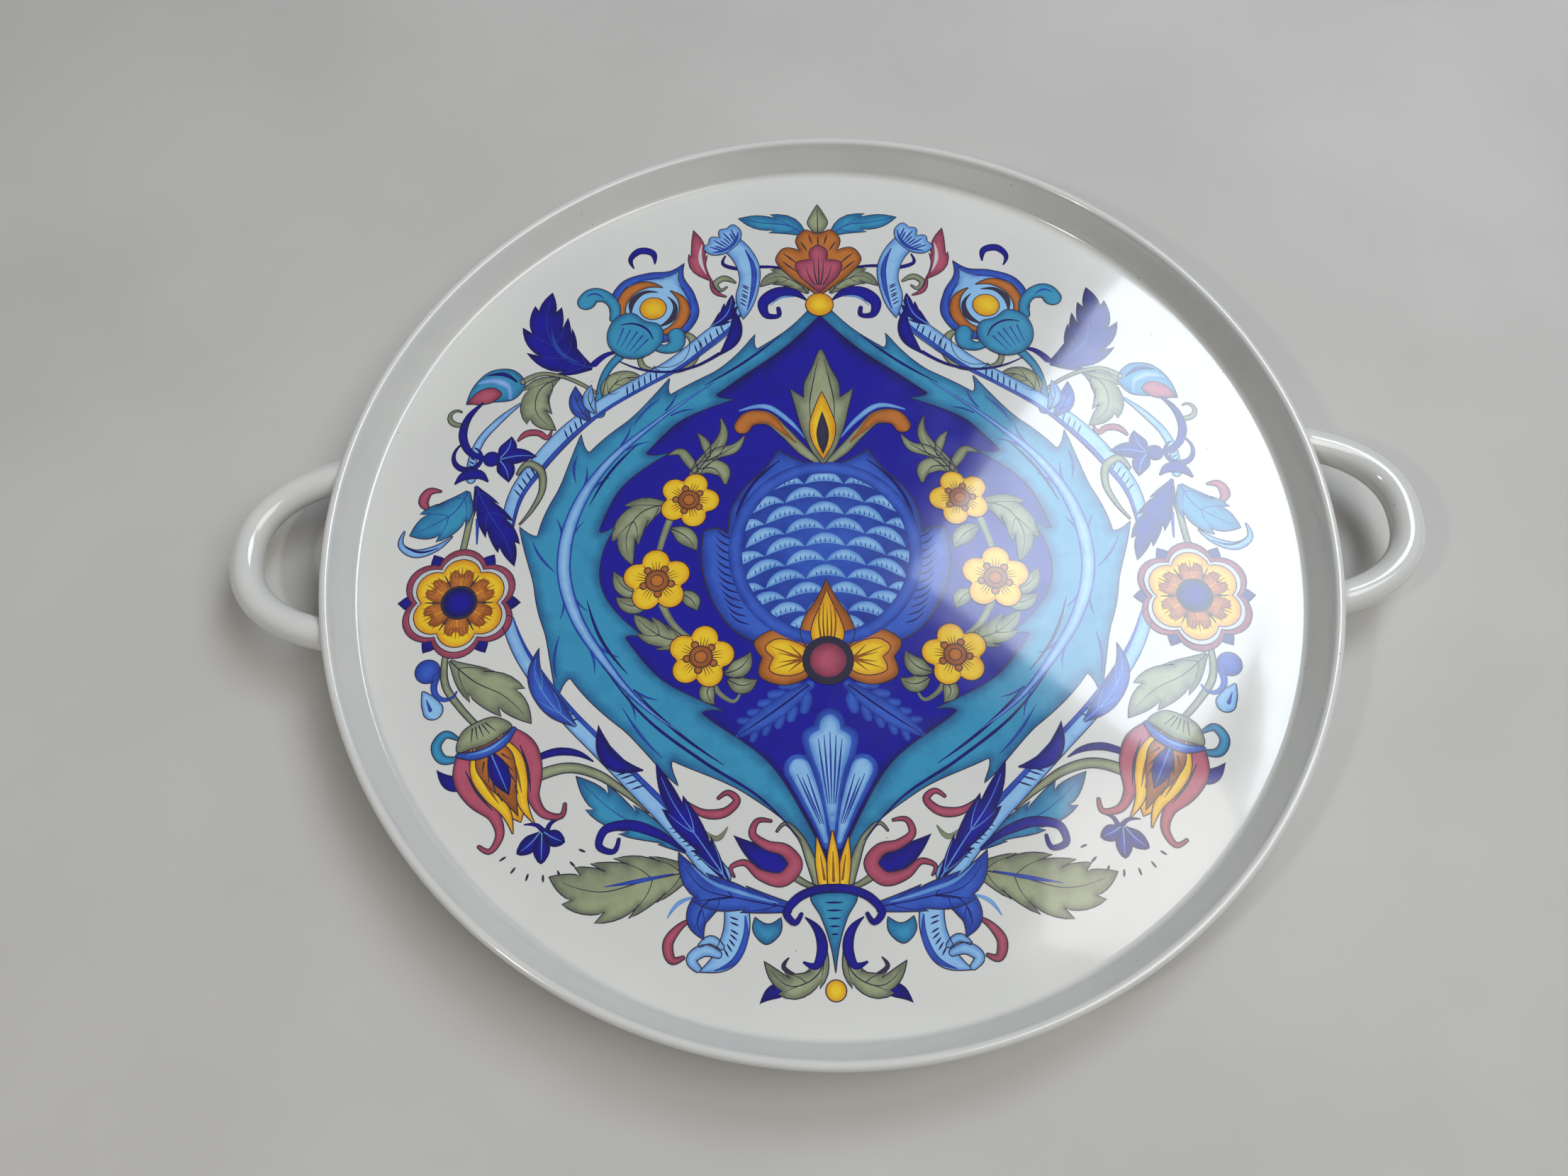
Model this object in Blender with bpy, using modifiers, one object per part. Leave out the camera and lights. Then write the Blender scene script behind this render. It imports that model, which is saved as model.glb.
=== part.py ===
"""Round glazed porcelain cake plate with a low raised rim and two horizontal loop handles.

The plate stands on its foot ring, with +Z up and its turning axis on Z. The handles lie along X.
Metres throughout.
"""

import math

import bmesh
import bpy
from mathutils import Vector

# Driving dimensions
RIM_RADIUS = 0.160          # outermost point of the rim's bead
HEIGHT = 0.026              # foot to the top of the bead
BEAD_RADIUS = 0.0017
WALL_LEAN = math.radians(23.2)
WALL_THICKNESS = 0.0029
FIELD_Z = 0.0145            # flat floor of the plate
FIELD_THICKNESS = 0.0050
COVE_RADIUS = 0.0010        # inside corner between floor and wall
TURN_RADIUS = 0.0080        # outside corner between wall and underside

FOOT_OUTER_RADIUS = 0.1170
FOOT_INNER_RADIUS = 0.1080
FOOT_TREAD_WIDTH = 0.0036   # flat unglazed band that touches the table

PRINT_RADIUS = 0.1400
PRINT_THICKNESS = 0.0004

HANDLE_TUBE_RADIUS = 0.0052
HANDLE_Z = 0.0182
HANDLE_CENTRE_X = 0.1370    # centre of the loop's superellipse
HANDLE_REACH = 0.0487       # half axis along X
HANDLE_HALF_WIDTH = 0.0300  # half axis along Y
HANDLE_ROUNDNESS = 2.3      # superellipse exponent
JOINT_LENGTH = 0.0040       # slip joint between the tube's end and the wall
JOINT_FLARE = 1.16          # joint's radius at the wall, in tube radii

CLEARANCE = 0.0003          # gap between neighbouring solids

# Values that follow from them
BEAD_X = RIM_RADIUS - BEAD_RADIUS
BEAD_Z = HEIGHT - BEAD_RADIUS
UNDERSIDE_Z = FIELD_Z - FIELD_THICKNESS
RECESS_DEPTH = PRINT_THICKNESS + CLEARANCE
WALL_SLOPE = math.tan(WALL_LEAN)
FOOT_HEIGHT = UNDERSIDE_Z - CLEARANCE

TURNED_STEPS = 96
HANDLE_POINTS = 37
JOINT_SIDES = 24


def arc(centre, radius, start_deg, end_deg, count):
    """Points on a circular arc, from start to end, both included."""
    points = []
    for i in range(count):
        angle = math.radians(start_deg + (end_deg - start_deg) * i / (count - 1))
        points.append((centre[0] + radius * math.cos(angle), centre[1] + radius * math.sin(angle)))
    return points


def wall_x(z, thickness):
    """Radius at height z of the leaning wall's face that lies thickness outside its inner face."""
    lean = WALL_LEAN
    x = BEAD_X - BEAD_RADIUS * math.cos(lean) + thickness * math.cos(lean)
    tangent_z = BEAD_Z + BEAD_RADIUS * math.sin(lean) - thickness * math.sin(lean)
    return x - (tangent_z - z) * WALL_SLOPE


def bead_end_deg():
    """Angle on the bead where the outer face of the wall leaves it."""
    offset = WALL_THICKNESS - BEAD_RADIUS
    return math.degrees(-WALL_LEAN - math.acos(offset / BEAD_RADIUS))


def outer_side(gap):
    """Bead, wall and lower turn, top to bottom, moved outwards by gap."""
    turn_z = UNDERSIDE_Z + TURN_RADIUS
    turn_x = wall_x(turn_z, WALL_THICKNESS) - TURN_RADIUS / math.cos(WALL_LEAN)
    lean_deg = math.degrees(WALL_LEAN)
    bead = arc((BEAD_X, BEAD_Z), BEAD_RADIUS + gap, 90.0, bead_end_deg(), 9)
    turn = arc((turn_x, turn_z), TURN_RADIUS + gap, -lean_deg, -90.0, 7)
    return bead + turn


def body_profile():
    """Half section of the plate, from the axis over the rim and back to the axis."""
    lean_deg = math.degrees(WALL_LEAN)
    recess_z = FIELD_Z - RECESS_DEPTH
    recess_x = PRINT_RADIUS + CLEARANCE
    cove_z = FIELD_Z + COVE_RADIUS
    cove_x = wall_x(cove_z, 0.0) - COVE_RADIUS / math.cos(WALL_LEAN)
    floor = [(0.0, recess_z), (recess_x, recess_z), (recess_x, FIELD_Z)]
    cove = arc((cove_x, cove_z), COVE_RADIUS, -90.0, -lean_deg, 4)
    inner_bead = arc((BEAD_X, BEAD_Z), BEAD_RADIUS, 180.0 - lean_deg, 90.0, 5)
    return floor + cove + inner_bead[:-1] + outer_side(0.0) + [(0.0, UNDERSIDE_Z)]


def cutter_profile():
    """Outside of the plate, grown by the clearance."""
    top = (0.0, HEIGHT + CLEARANCE)
    bottom = (0.0, UNDERSIDE_Z - CLEARANCE)
    return [top] + outer_side(CLEARANCE) + [bottom]


def foot_profile():
    """Closed section of the foot ring: a tapered ring with a narrow flat tread."""
    middle = (FOOT_OUTER_RADIUS + FOOT_INNER_RADIUS) / 2
    half = FOOT_TREAD_WIDTH / 2
    shoulder = 0.0012
    return [
        (FOOT_INNER_RADIUS, FOOT_HEIGHT),
        (FOOT_OUTER_RADIUS, FOOT_HEIGHT),
        (middle + half + shoulder, shoulder),
        (middle + half, 0.0),
        (middle - half, 0.0),
        (middle - half - shoulder, shoulder),
    ]


def clear_scene():
    for obj in list(bpy.data.objects):
        bpy.data.objects.remove(obj, do_unlink=True)


def make_collection(name):
    collection = bpy.data.collections.new(name)
    bpy.context.scene.collection.children.link(collection)
    return collection


def make_material(name, colour, roughness):
    material = bpy.data.materials.new(name)
    material.use_nodes = True
    shader = material.node_tree.nodes["Principled BSDF"]
    shader.inputs["Base Color"].default_value = (*colour, 1.0)
    shader.inputs["Roughness"].default_value = roughness
    shader.inputs["Metallic"].default_value = 0.0
    material.diffuse_color = (*colour, 1.0)
    return material


def add_object(name, data, collection, material=None):
    obj = bpy.data.objects.new(name, data)
    collection.objects.link(obj)
    if material:
        data.materials.append(material)
    return obj


def turned(name, profile, collection, material=None, closed=False):
    """Turn a profile about Z with a Screw modifier."""
    mesh = bpy.data.meshes.new(name)
    edges = [(i, i + 1) for i in range(len(profile) - 1)]
    if closed:
        edges.append((len(profile) - 1, 0))
    mesh.from_pydata([(x, 0.0, z) for x, z in profile], edges, [])
    obj = add_object(name, mesh, collection, material)
    screw = obj.modifiers.new("turn", "SCREW")
    screw.axis = "Z"
    screw.steps = TURNED_STEPS
    screw.render_steps = TURNED_STEPS
    screw.use_merge_vertices = True
    screw.merge_threshold = 0.00001
    screw.use_smooth_shade = True
    return obj


def loop_point(angle):
    """Point of the handle's centreline in its own plane: X outwards, Y along the rim."""
    power = 2.0 / HANDLE_ROUNDNESS
    x = HANDLE_CENTRE_X + HANDLE_REACH * abs(math.cos(angle)) ** power
    y = HANDLE_HALF_WIDTH * math.copysign(abs(math.sin(angle)) ** power, math.sin(angle))
    return Vector((x, y, 0.0))


def loop_angle_at_radius(radius):
    """Angle at which the centreline is this far from the plate's axis, by bisection."""
    low, high = 0.0, math.radians(88.0)
    for _ in range(40):
        middle = (low + high) / 2
        if loop_point(middle).length > radius:
            low = middle
        else:
            high = middle
    return low


def handle_tube(name, side, end_angle, collection, material):
    """Round bar bent to the loop, open towards the plate."""
    curve = bpy.data.curves.new(name, "CURVE")
    curve.dimensions = "3D"
    curve.bevel_depth = HANDLE_TUBE_RADIUS
    curve.bevel_resolution = 6
    curve.use_fill_caps = True
    spline = curve.splines.new("POLY")
    spline.points.add(HANDLE_POINTS - 1)
    for i, point in enumerate(spline.points):
        angle = end_angle * (2.0 * i / (HANDLE_POINTS - 1) - 1.0)
        position = loop_point(angle)
        point.co = (side * position.x, position.y, position.z, 1.0)
    spline.use_smooth = True
    obj = add_object(name, curve, collection, material)
    obj.location.z = HANDLE_Z
    return obj


def slip_joint(name, side, end, end_angle, cutter, collection, material):
    """Flared plug of slip between a handle's end and the wall, shaped by the wall behind it."""
    step = math.radians(0.5)
    tip = loop_point(end_angle)
    along = (loop_point(end_angle + step) - loop_point(end_angle - step)).normalized()
    start = tip + along * CLEARANCE
    depth = JOINT_LENGTH * 2.2
    mesh = bpy.data.meshes.new(name)
    shape = bmesh.new()
    bmesh.ops.create_cone(
        shape,
        cap_ends=True,
        segments=JOINT_SIDES,
        radius1=HANDLE_TUBE_RADIUS,
        radius2=HANDLE_TUBE_RADIUS * (1.0 + (JOINT_FLARE - 1.0) * depth / JOINT_LENGTH),
        depth=depth,
    )
    shape.to_mesh(mesh)
    shape.free()
    mesh.shade_smooth()
    mesh.set_sharp_from_angle(angle=math.radians(40.0))
    obj = add_object(name, mesh, collection, material)
    direction = Vector((side * along.x, end * along.y, 0.0))
    origin = Vector((side * start.x, end * start.y, HANDLE_Z))
    obj.location = origin + direction * depth / 2
    obj.rotation_euler = direction.to_track_quat("Z", "Y").to_euler()
    cut = obj.modifiers.new("wall", "BOOLEAN")
    cut.operation = "DIFFERENCE"
    cut.solver = "EXACT"
    cut.object = cutter
    return obj


def print_disc(name, collection, material):
    """Thin disc that stands for the fired transfer on the plate's floor."""
    mesh = bpy.data.meshes.new(name)
    shape = bmesh.new()
    bmesh.ops.create_cone(
        shape,
        cap_ends=True,
        segments=TURNED_STEPS,
        radius1=PRINT_RADIUS,
        radius2=PRINT_RADIUS,
        depth=PRINT_THICKNESS,
    )
    shape.to_mesh(mesh)
    shape.free()
    obj = add_object(name, mesh, collection, material)
    obj.location.z = FIELD_Z - PRINT_THICKNESS / 2
    return obj


def build():
    clear_scene()
    parts = make_collection("handled_cake_plate")
    cutters = make_collection("cutters")
    glaze = make_material("white_glaze", (0.80, 0.80, 0.79), 0.12)
    handle_glaze = make_material("handle_glaze", (0.79, 0.79, 0.78), 0.14)
    joint_glaze = make_material("joint_glaze", (0.78, 0.78, 0.77), 0.16)
    bare_clay = make_material("bare_clay", (0.84, 0.81, 0.76), 0.70)
    enamel = make_material("print_enamel", (0.06, 0.16, 0.50), 0.20)

    turned("plate_body", body_profile(), parts, glaze)
    turned("foot_ring", foot_profile(), parts, bare_clay, closed=True)
    print_disc("transfer_print", parts, enamel)

    cutter = turned("plate_outside", cutter_profile(), cutters)
    cutter.hide_render = True
    cutter.display_type = "WIRE"

    wall_radius = wall_x(HANDLE_Z, WALL_THICKNESS)
    end_angle = loop_angle_at_radius(wall_radius + JOINT_LENGTH)
    for side, side_name in ((-1.0, "left"), (1.0, "right")):
        handle_tube(f"handle_{side_name}", side, end_angle, parts, handle_glaze)
        for end, end_name in ((-1.0, "front"), (1.0, "back")):
            name = f"slip_joint_{side_name}_{end_name}"
            slip_joint(name, side, end, end_angle, cutter, parts, joint_glaze)


build()
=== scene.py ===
"""Looks for the round handled porcelain plate: fine glazed body, handles and a fired floral transfer."""
import math

import bmesh
import bpy
import numpy as np
from mathutils import Matrix, Vector
from mathutils.geometry import delaunay_2d_cdt


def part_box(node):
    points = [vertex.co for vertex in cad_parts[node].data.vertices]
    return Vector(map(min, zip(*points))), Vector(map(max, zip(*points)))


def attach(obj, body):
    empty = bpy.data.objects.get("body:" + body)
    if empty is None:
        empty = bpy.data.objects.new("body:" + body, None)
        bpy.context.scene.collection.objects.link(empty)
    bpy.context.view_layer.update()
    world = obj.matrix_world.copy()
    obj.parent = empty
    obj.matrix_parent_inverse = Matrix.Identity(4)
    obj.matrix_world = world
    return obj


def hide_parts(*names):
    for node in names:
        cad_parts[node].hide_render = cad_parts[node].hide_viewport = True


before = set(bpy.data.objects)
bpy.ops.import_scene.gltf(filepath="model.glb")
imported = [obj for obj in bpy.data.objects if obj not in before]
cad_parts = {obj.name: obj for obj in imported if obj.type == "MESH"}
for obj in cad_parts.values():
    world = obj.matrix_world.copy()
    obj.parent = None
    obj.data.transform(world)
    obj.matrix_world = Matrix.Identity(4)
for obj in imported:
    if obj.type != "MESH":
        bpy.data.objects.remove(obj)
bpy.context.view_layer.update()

MM = 0.001

# Sizes read from the CAD frame
RIM_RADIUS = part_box("plate_body")[1][0]
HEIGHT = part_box("plate_body")[1][2]
FLOOR_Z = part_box("transfer_print")[1][2]
UNDERSIDE_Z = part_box("plate_body")[0][2]
FOOT_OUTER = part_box("foot_ring")[1][0]
HANDLE_REACH_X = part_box("handle_right")[1][0]
HANDLE_Z = (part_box("handle_right")[0][2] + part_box("handle_right")[1][2]) / 2
TUBE_RADIUS = (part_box("handle_right")[1][2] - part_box("handle_right")[0][2]) / 2

# Shape of the turned body
BEAD_RADIUS = 1.7 * MM
WALL_LEAN = math.radians(23.2)
WALL_THICKNESS = 2.9 * MM
COVE_RADIUS = 2.4 * MM
TURN_RADIUS = 8.0 * MM
FOOT_WIDTH = 9.0 * MM
TREAD_WIDTH = 3.6 * MM
FOOT_FILLET = 3.0 * MM
FOOT_TAPER = 1.3 * MM  # from the tread's edge to the straight side of the foot
FOOT_OVERLAP = 0.2 * MM  # how far the foot reaches into the body
TREAD_CHAMFER = 0.7 * MM
TREAD_CORNER = 0.5 * MM
BARE_TO_Z = 0.9 * MM  # the glaze is wiped off below this height
TURNED_STEPS = 288

# Shape of the handles
LOOP_CENTRE_X = 137.0 * MM
LOOP_HALF_WIDTH = 30.0 * MM
LOOP_ROUNDNESS = 2.3  # exponent of the loop's superellipse
LOOP_STEPS = 120
SINK_DEPTH = 4.5 * MM  # how far the ends run in behind the wall's outer face
SINK_SHARE = 0.55  # where in the wall's thickness they are cut off
SLIP_FLARE = 1.22  # joint's radius at the wall, in tube radii
SLIP_CURVE = 2.4
SLIP_LENGTH = 6.0 * MM
SLIP_STEPS = 20
TUBE_SIDES = 48
TUBE_FIT = 0.998  # keeps the facets inside the CAD tube

# Finish of the glaze, over bare porcelain and enamel alike
GLAZE_IOR = 1.52
GLAZE_ROUGHNESS = (0.10, 0.16)
COAT_WEIGHT, COAT_ROUGHNESS = 0.6, 0.05


# ---------------------------------------------------------------- materials


def srgb(red, green, blue):
    """Linear colour from 0-255 display values."""
    linear = []
    for value in (red, green, blue):
        v = value / 255.0
        linear.append(v / 12.92 if v <= 0.04045 else ((v + 0.055) / 1.055) ** 2.4)
    return (*linear, 1.0)


class Nodes:
    """Small helper that adds nodes to a material or a world and links them."""

    def __init__(self, owner, shader="Principled BSDF"):
        owner.use_nodes = True
        self.owner = owner
        self.tree = owner.node_tree
        self.shader = self.tree.nodes[shader]

    def add(self, kind, **values):
        """New node; each value goes to the socket of that name, or else to the node's own setting."""
        node = self.tree.nodes.new(kind)
        for key, value in values.items():
            if key in node.inputs:
                node.inputs[key].default_value = value
            else:
                setattr(node, key, value)
        return node

    def link(self, source, target):
        self.tree.links.new(source, target)

    def place(self, output="Object"):
        return self.add("ShaderNodeTexCoord").outputs[output]

    def noise(self, scale, detail=2.0):
        node = self.add("ShaderNodeTexNoise", Scale=scale, Detail=detail)
        self.link(self.place(), node.inputs["Vector"])
        return node.outputs["Fac"]

    def ramp(self, source, low, high, out_low=0.0, out_high=1.0):
        """Smooth step from out_low to out_high while the source goes from low to high."""
        node = self.add("ShaderNodeMapRange", interpolation_type="SMOOTHSTEP")
        node.inputs["From Min"].default_value = low
        node.inputs["From Max"].default_value = high
        node.inputs["To Min"].default_value = out_low
        node.inputs["To Max"].default_value = out_high
        self.link(source, node.inputs["Value"])
        return node.outputs["Result"]

    def mix(self, factor, colour_a, colour_b):
        """Colour mix; the Mix node's colour sockets are 6 and 7, and its colour output is 2."""
        node = self.add("ShaderNodeMix", data_type="RGBA")
        for value, socket in ((factor, 0), (colour_a, 6), (colour_b, 7)):
            if isinstance(value, (float, tuple)):
                node.inputs[socket].default_value = value
            else:
                self.link(value, node.inputs[socket])
        return node.outputs[2]

    def bumps(self, *layers):
        """Chain of bump layers, each (height source, strength, distance)."""
        previous = None
        for height, strength, distance in layers:
            bump = self.add("ShaderNodeBump", Strength=strength, Distance=distance)
            self.link(height, bump.inputs["Height"])
            if previous:
                self.link(previous, bump.inputs["Normal"])
            previous = bump.outputs["Normal"]
        self.link(previous, self.shader.inputs["Normal"])

    def glaze(self):
        """Clear glaze on top of any colour: uneven gloss, slow waves and a fine orange peel."""
        self.link(self.ramp(self.noise(60.0), 0.3, 0.7, *GLAZE_ROUGHNESS), self.shader.inputs["Roughness"])
        self.shader.inputs["IOR"].default_value = GLAZE_IOR
        self.shader.inputs["Coat Weight"].default_value = COAT_WEIGHT
        self.shader.inputs["Coat Roughness"].default_value = COAT_ROUGHNESS
        self.bumps((self.noise(26.0), 0.35, 0.6 * MM), (self.noise(420.0), 0.10, 0.05 * MM))


def glaze_material():
    """Glazed white porcelain, faintly cloudy, with rare iron specks."""
    n = Nodes(bpy.data.materials.new("porcelain_glaze"))
    body = n.mix(n.ramp(n.noise(22.0, 3.0), 0.35, 0.65), srgb(222, 222, 219), srgb(226, 226, 222))
    seeds = n.add("ShaderNodeTexVoronoi", Scale=95.0)
    n.link(n.place(), seeds.inputs["Vector"])
    speck = n.ramp(seeds.outputs["Distance"], 0.020, 0.034, 0.55, 0.0)
    n.link(n.mix(speck, body, srgb(120, 112, 100)), n.shader.inputs["Base Color"])
    n.glaze()
    return n.owner


def clay_material():
    """Bare, ground porcelain on the foot's tread."""
    n = Nodes(bpy.data.materials.new("bare_clay"))
    grain = n.ramp(n.noise(900.0, 3.0), 0.3, 0.7)
    stain = n.ramp(n.noise(45.0, 3.0), 0.45, 0.75)
    body = n.mix(grain, srgb(214, 208, 196), srgb(232, 228, 219))
    n.link(n.mix(stain, body, srgb(196, 186, 170)), n.shader.inputs["Base Color"])
    n.shader.inputs["Roughness"].default_value = 0.75
    n.bumps((n.noise(1600.0, 3.0), 0.5, 0.1 * MM))
    return n.owner


GLAZE = glaze_material()
CLAY = clay_material()


# ---------------------------------------------------------------- body


def arc(centre, radius, start_deg, end_deg, count):
    """Points on a circular arc, both ends included."""
    step = math.radians(end_deg - start_deg) / (count - 1)
    angles = [math.radians(start_deg) + step * i for i in range(count)]
    return [(centre[0] + radius * math.cos(a), centre[1] + radius * math.sin(a)) for a in angles]


def straight(start, end, count):
    """Points between two ends, ends left out."""
    (x1, z1), (x2, z2) = start, end
    return [(x1 + (x2 - x1) * i / count, z1 + (z2 - z1) * i / count) for i in range(1, count)]


def wall_x(z, thickness):
    """Radius of the leaning wall at height z, thickness outside its inner face."""
    bead_x, bead_z = RIM_RADIUS - BEAD_RADIUS, HEIGHT - BEAD_RADIUS
    inner_x = bead_x - (BEAD_RADIUS - thickness) * math.cos(WALL_LEAN)
    tangent_z = bead_z + (BEAD_RADIUS - thickness) * math.sin(WALL_LEAN)
    return inner_x - (tangent_z - z) * math.tan(WALL_LEAN)


def body_profile():
    """Half section from the axis over the rim and back to the axis."""
    lean = math.degrees(WALL_LEAN)
    bead = (RIM_RADIUS - BEAD_RADIUS, HEIGHT - BEAD_RADIUS)
    cove_z = FLOOR_Z + COVE_RADIUS
    cove_x = wall_x(cove_z, 0.0) - COVE_RADIUS / math.cos(WALL_LEAN)
    turn_z = UNDERSIDE_Z + TURN_RADIUS
    turn_x = wall_x(turn_z, WALL_THICKNESS) - TURN_RADIUS / math.cos(WALL_LEAN)
    bead_end = -lean - math.degrees(math.acos(WALL_THICKNESS / BEAD_RADIUS - 1.0))
    floor = [(0.0, FLOOR_Z)] + straight((0.0, FLOOR_Z), (cove_x, FLOOR_Z), 12)
    inside = arc((cove_x, cove_z), COVE_RADIUS, -90.0, -lean, 7)
    rim = arc(bead, BEAD_RADIUS, 180.0 - lean, bead_end, 20)
    turn = arc((turn_x, turn_z), TURN_RADIUS, -lean, -90.0, 14)
    under = straight((turn_x, UNDERSIDE_Z), (0.0, UNDERSIDE_Z), 8) + [(0.0, UNDERSIDE_Z)]
    up, down = straight(inside[-1], rim[0], 5), straight(rim[-1], turn[0], 4)
    return floor + inside + up + rim + down + turn + under


def foot_profile():
    """Closed section of the foot ring, flared into the underside above it."""
    middle = FOOT_OUTER - FOOT_WIDTH / 2
    edge = middle + TREAD_WIDTH / 2
    side = edge + FOOT_TAPER
    fillet = arc((side + FOOT_FILLET, UNDERSIDE_Z - FOOT_FILLET), FOOT_FILLET, 90.0, 180.0, 8)
    shoulder = (edge + TREAD_CHAMFER, TREAD_CHAMFER)
    corner = arc((edge, TREAD_CORNER), TREAD_CORNER, 0.0, -90.0, 5)
    outer = [(fillet[0][0], UNDERSIDE_Z + FOOT_OVERLAP)] + fillet + [shoulder] + corner
    inner = [(2 * middle - x, z) for x, z in reversed(outer)]
    return outer + inner


def new_object(name, mesh, *materials):
    """Object of a mesh, in the scene and with its materials."""
    obj = bpy.data.objects.new(name, mesh)
    bpy.context.scene.collection.objects.link(obj)
    for material in materials:
        mesh.materials.append(material)
    return obj


def smooth_object(name, verts, faces, crease_deg, *materials):
    """Closed object with outward faces, smooth but for edges sharper than the crease angle."""
    mesh = bpy.data.meshes.new(name)
    mesh.from_pydata(verts, [], faces)
    shape = bmesh.new()
    shape.from_mesh(mesh)
    bmesh.ops.remove_doubles(shape, verts=shape.verts, dist=1e-7)
    bmesh.ops.recalc_face_normals(shape, faces=shape.faces)
    shape.to_mesh(mesh)
    shape.free()
    mesh.shade_smooth()
    mesh.set_sharp_from_angle(angle=math.radians(crease_deg))
    return new_object(name, mesh, *materials)


def turned(name, profile, *materials, closed=False):
    """Turn a profile about Z."""
    count = len(profile)
    verts, faces = [], []
    for s in range(TURNED_STEPS):
        angle = 2 * math.pi * s / TURNED_STEPS
        verts += [(x * math.cos(angle), x * math.sin(angle), z) for x, z in profile]
    for s in range(TURNED_STEPS):
        here, there = s * count, (s + 1) % TURNED_STEPS * count
        for i in range(count if closed else count - 1):
            j = (i + 1) % count
            faces.append((here + i, here + j, there + j, there + i))
    return smooth_object(name, verts, faces, 50.0, *materials)


def make_body():
    body = turned("glazed_body", body_profile(), GLAZE)
    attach(body, "root")
    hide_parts("plate_body")
    foot = turned("foot_with_bare_tread", foot_profile(), GLAZE, CLAY, closed=True)
    for face in foot.data.polygons:
        face.material_index = int(face.center.z < BARE_TO_Z)
    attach(foot, "root")
    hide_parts("foot_ring")


# ---------------------------------------------------------------- handles


def loop_point(angle):
    """Point of the right handle's centreline, a superellipse in its own plane."""
    power = 2.0 / LOOP_ROUNDNESS
    reach = HANDLE_REACH_X - TUBE_RADIUS - LOOP_CENTRE_X
    x = LOOP_CENTRE_X + reach * abs(math.cos(angle)) ** power
    y = LOOP_HALF_WIDTH * math.copysign(abs(math.sin(angle)) ** power, math.sin(angle))
    return Vector((x, y, 0.0))


def loop_angle_at_radius(radius):
    """Angle at which the centreline is this far from the plate's axis, by bisection."""
    low, high = 0.0, math.radians(88.0)
    for _ in range(40):
        middle = (low + high) / 2
        low, high = (middle, high) if loop_point(middle).length > radius else (low, middle)
    return low


def meet_wall(point):
    """Move a point that lies deep in the wall out to its middle, and say whether it was moved."""
    reach = math.hypot(point.x, point.y)
    limit = wall_x(point.z, SINK_SHARE * WALL_THICKNESS)
    if reach >= limit:
        return point, False
    return Vector((point.x * limit / reach, point.y * limit / reach, point.z)), True


def tube(name, path, radii, *materials):
    """Round tube along a flat path, with its own radius at each point, cut off inside the wall."""
    up = Vector((0.0, 0.0, 1.0))
    turns = [2 * math.pi * k / TUBE_SIDES for k in range(TUBE_SIDES)]
    rings, clear, last = [], [], len(path) - 1
    for i, (point, radius) in enumerate(zip(path, radii)):
        across = up.cross((path[min(i + 1, last)] - path[max(i - 1, 0)]).normalized())
        ring = [point + across * radius * math.cos(t) + up * (radius * math.sin(t)) for t in turns]
        met = [meet_wall(p) for p in ring]
        rings.append([tuple(p) for p, moved in met])
        if not all(moved for p, moved in met):
            clear.append(i)
    rings = rings[max(clear[0] - 1, 0):clear[-1] + 2]
    faces, size = [], TUBE_SIDES
    for i in range(0, (len(rings) - 1) * size, size):
        for k in range(size):
            j = (k + 1) % size
            faces.append((i + k, i + j, i + size + j, i + size + k))
    faces += [tuple(range(size))[::-1], tuple(range((len(rings) - 1) * size, len(rings) * size))]
    return smooth_object(name, sum(rings, []), faces, 60.0, *materials)


def make_handles():
    wall = wall_x(HANDLE_Z, WALL_THICKNESS)
    end_angle = loop_angle_at_radius(wall - SINK_DEPTH)
    joint_angle = loop_angle_at_radius(wall + SLIP_LENGTH)
    lift = Vector((0.0, 0.0, HANDLE_Z))
    loop_angles = [end_angle * (2.0 * i / (LOOP_STEPS - 1) - 1.0) for i in range(LOOP_STEPS)]
    run = end_angle - joint_angle
    slip_angles = [joint_angle + run * i / (SLIP_STEPS - 1) for i in range(SLIP_STEPS)]
    gaps = [max(0.0, loop_point(a).length - wall) / SLIP_LENGTH for a in slip_angles]
    flare = SLIP_FLARE - 1.0
    slip_radii = [TUBE_RADIUS * (1.0 + flare * (1.0 - min(gap, 1.0)) ** SLIP_CURVE) for gap in gaps]
    for side, side_name in ((-1, "left"), (1, "right")):
        place = Matrix.Diagonal((side, 1.0, 1.0))
        path = [place @ loop_point(a) + lift for a in loop_angles]
        handle = tube(f"handle_loop_{side_name}", path, [TUBE_RADIUS * TUBE_FIT] * LOOP_STEPS, GLAZE)
        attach(handle, "root")
        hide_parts(f"handle_{side_name}")
        for end, end_name in ((-1, "front"), (1, "back")):
            name = f"slip_joint_{side_name}_{end_name}"
            path = [place @ loop_point(end * a) + lift for a in slip_angles]
            joint = tube(f"{name}_glazed", path, slip_radii, GLAZE)
            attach(joint, "root")
            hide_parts(name)


make_body()
make_handles()


# ---------------------------------------------------------------- fired print: drawing tools

# Sizes of the print are in mm, in its own frame: u to the right and v away from the camera
LAYER = 0.03 * MM  # height of one drawing level over the floor
LEVEL_STEP, LEVEL_CYCLE = 0.008, 50  # later shapes of a level lie this much higher, in levels
LEVEL_SLOPE = 0.05  # rise over one shape, so that no two faces coincide
OUTLINE_LIFT = 0.5  # levels between a shape and its outline
INK_FINE, INK, INK_BOLD = 0.30, 0.32, 0.35  # widths of the outlines
PRINT_TILT = math.radians(1.57)
PRINT_SHIFT_X = -1.14
CORNER_SWING = 0.6  # how far a curve bends away from its chord at a corner
CAP_FROM = 0.3  # half width from which a stroke gets round ends
CAP_ANGLES = (18, 36, 54, 70, 84)

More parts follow.
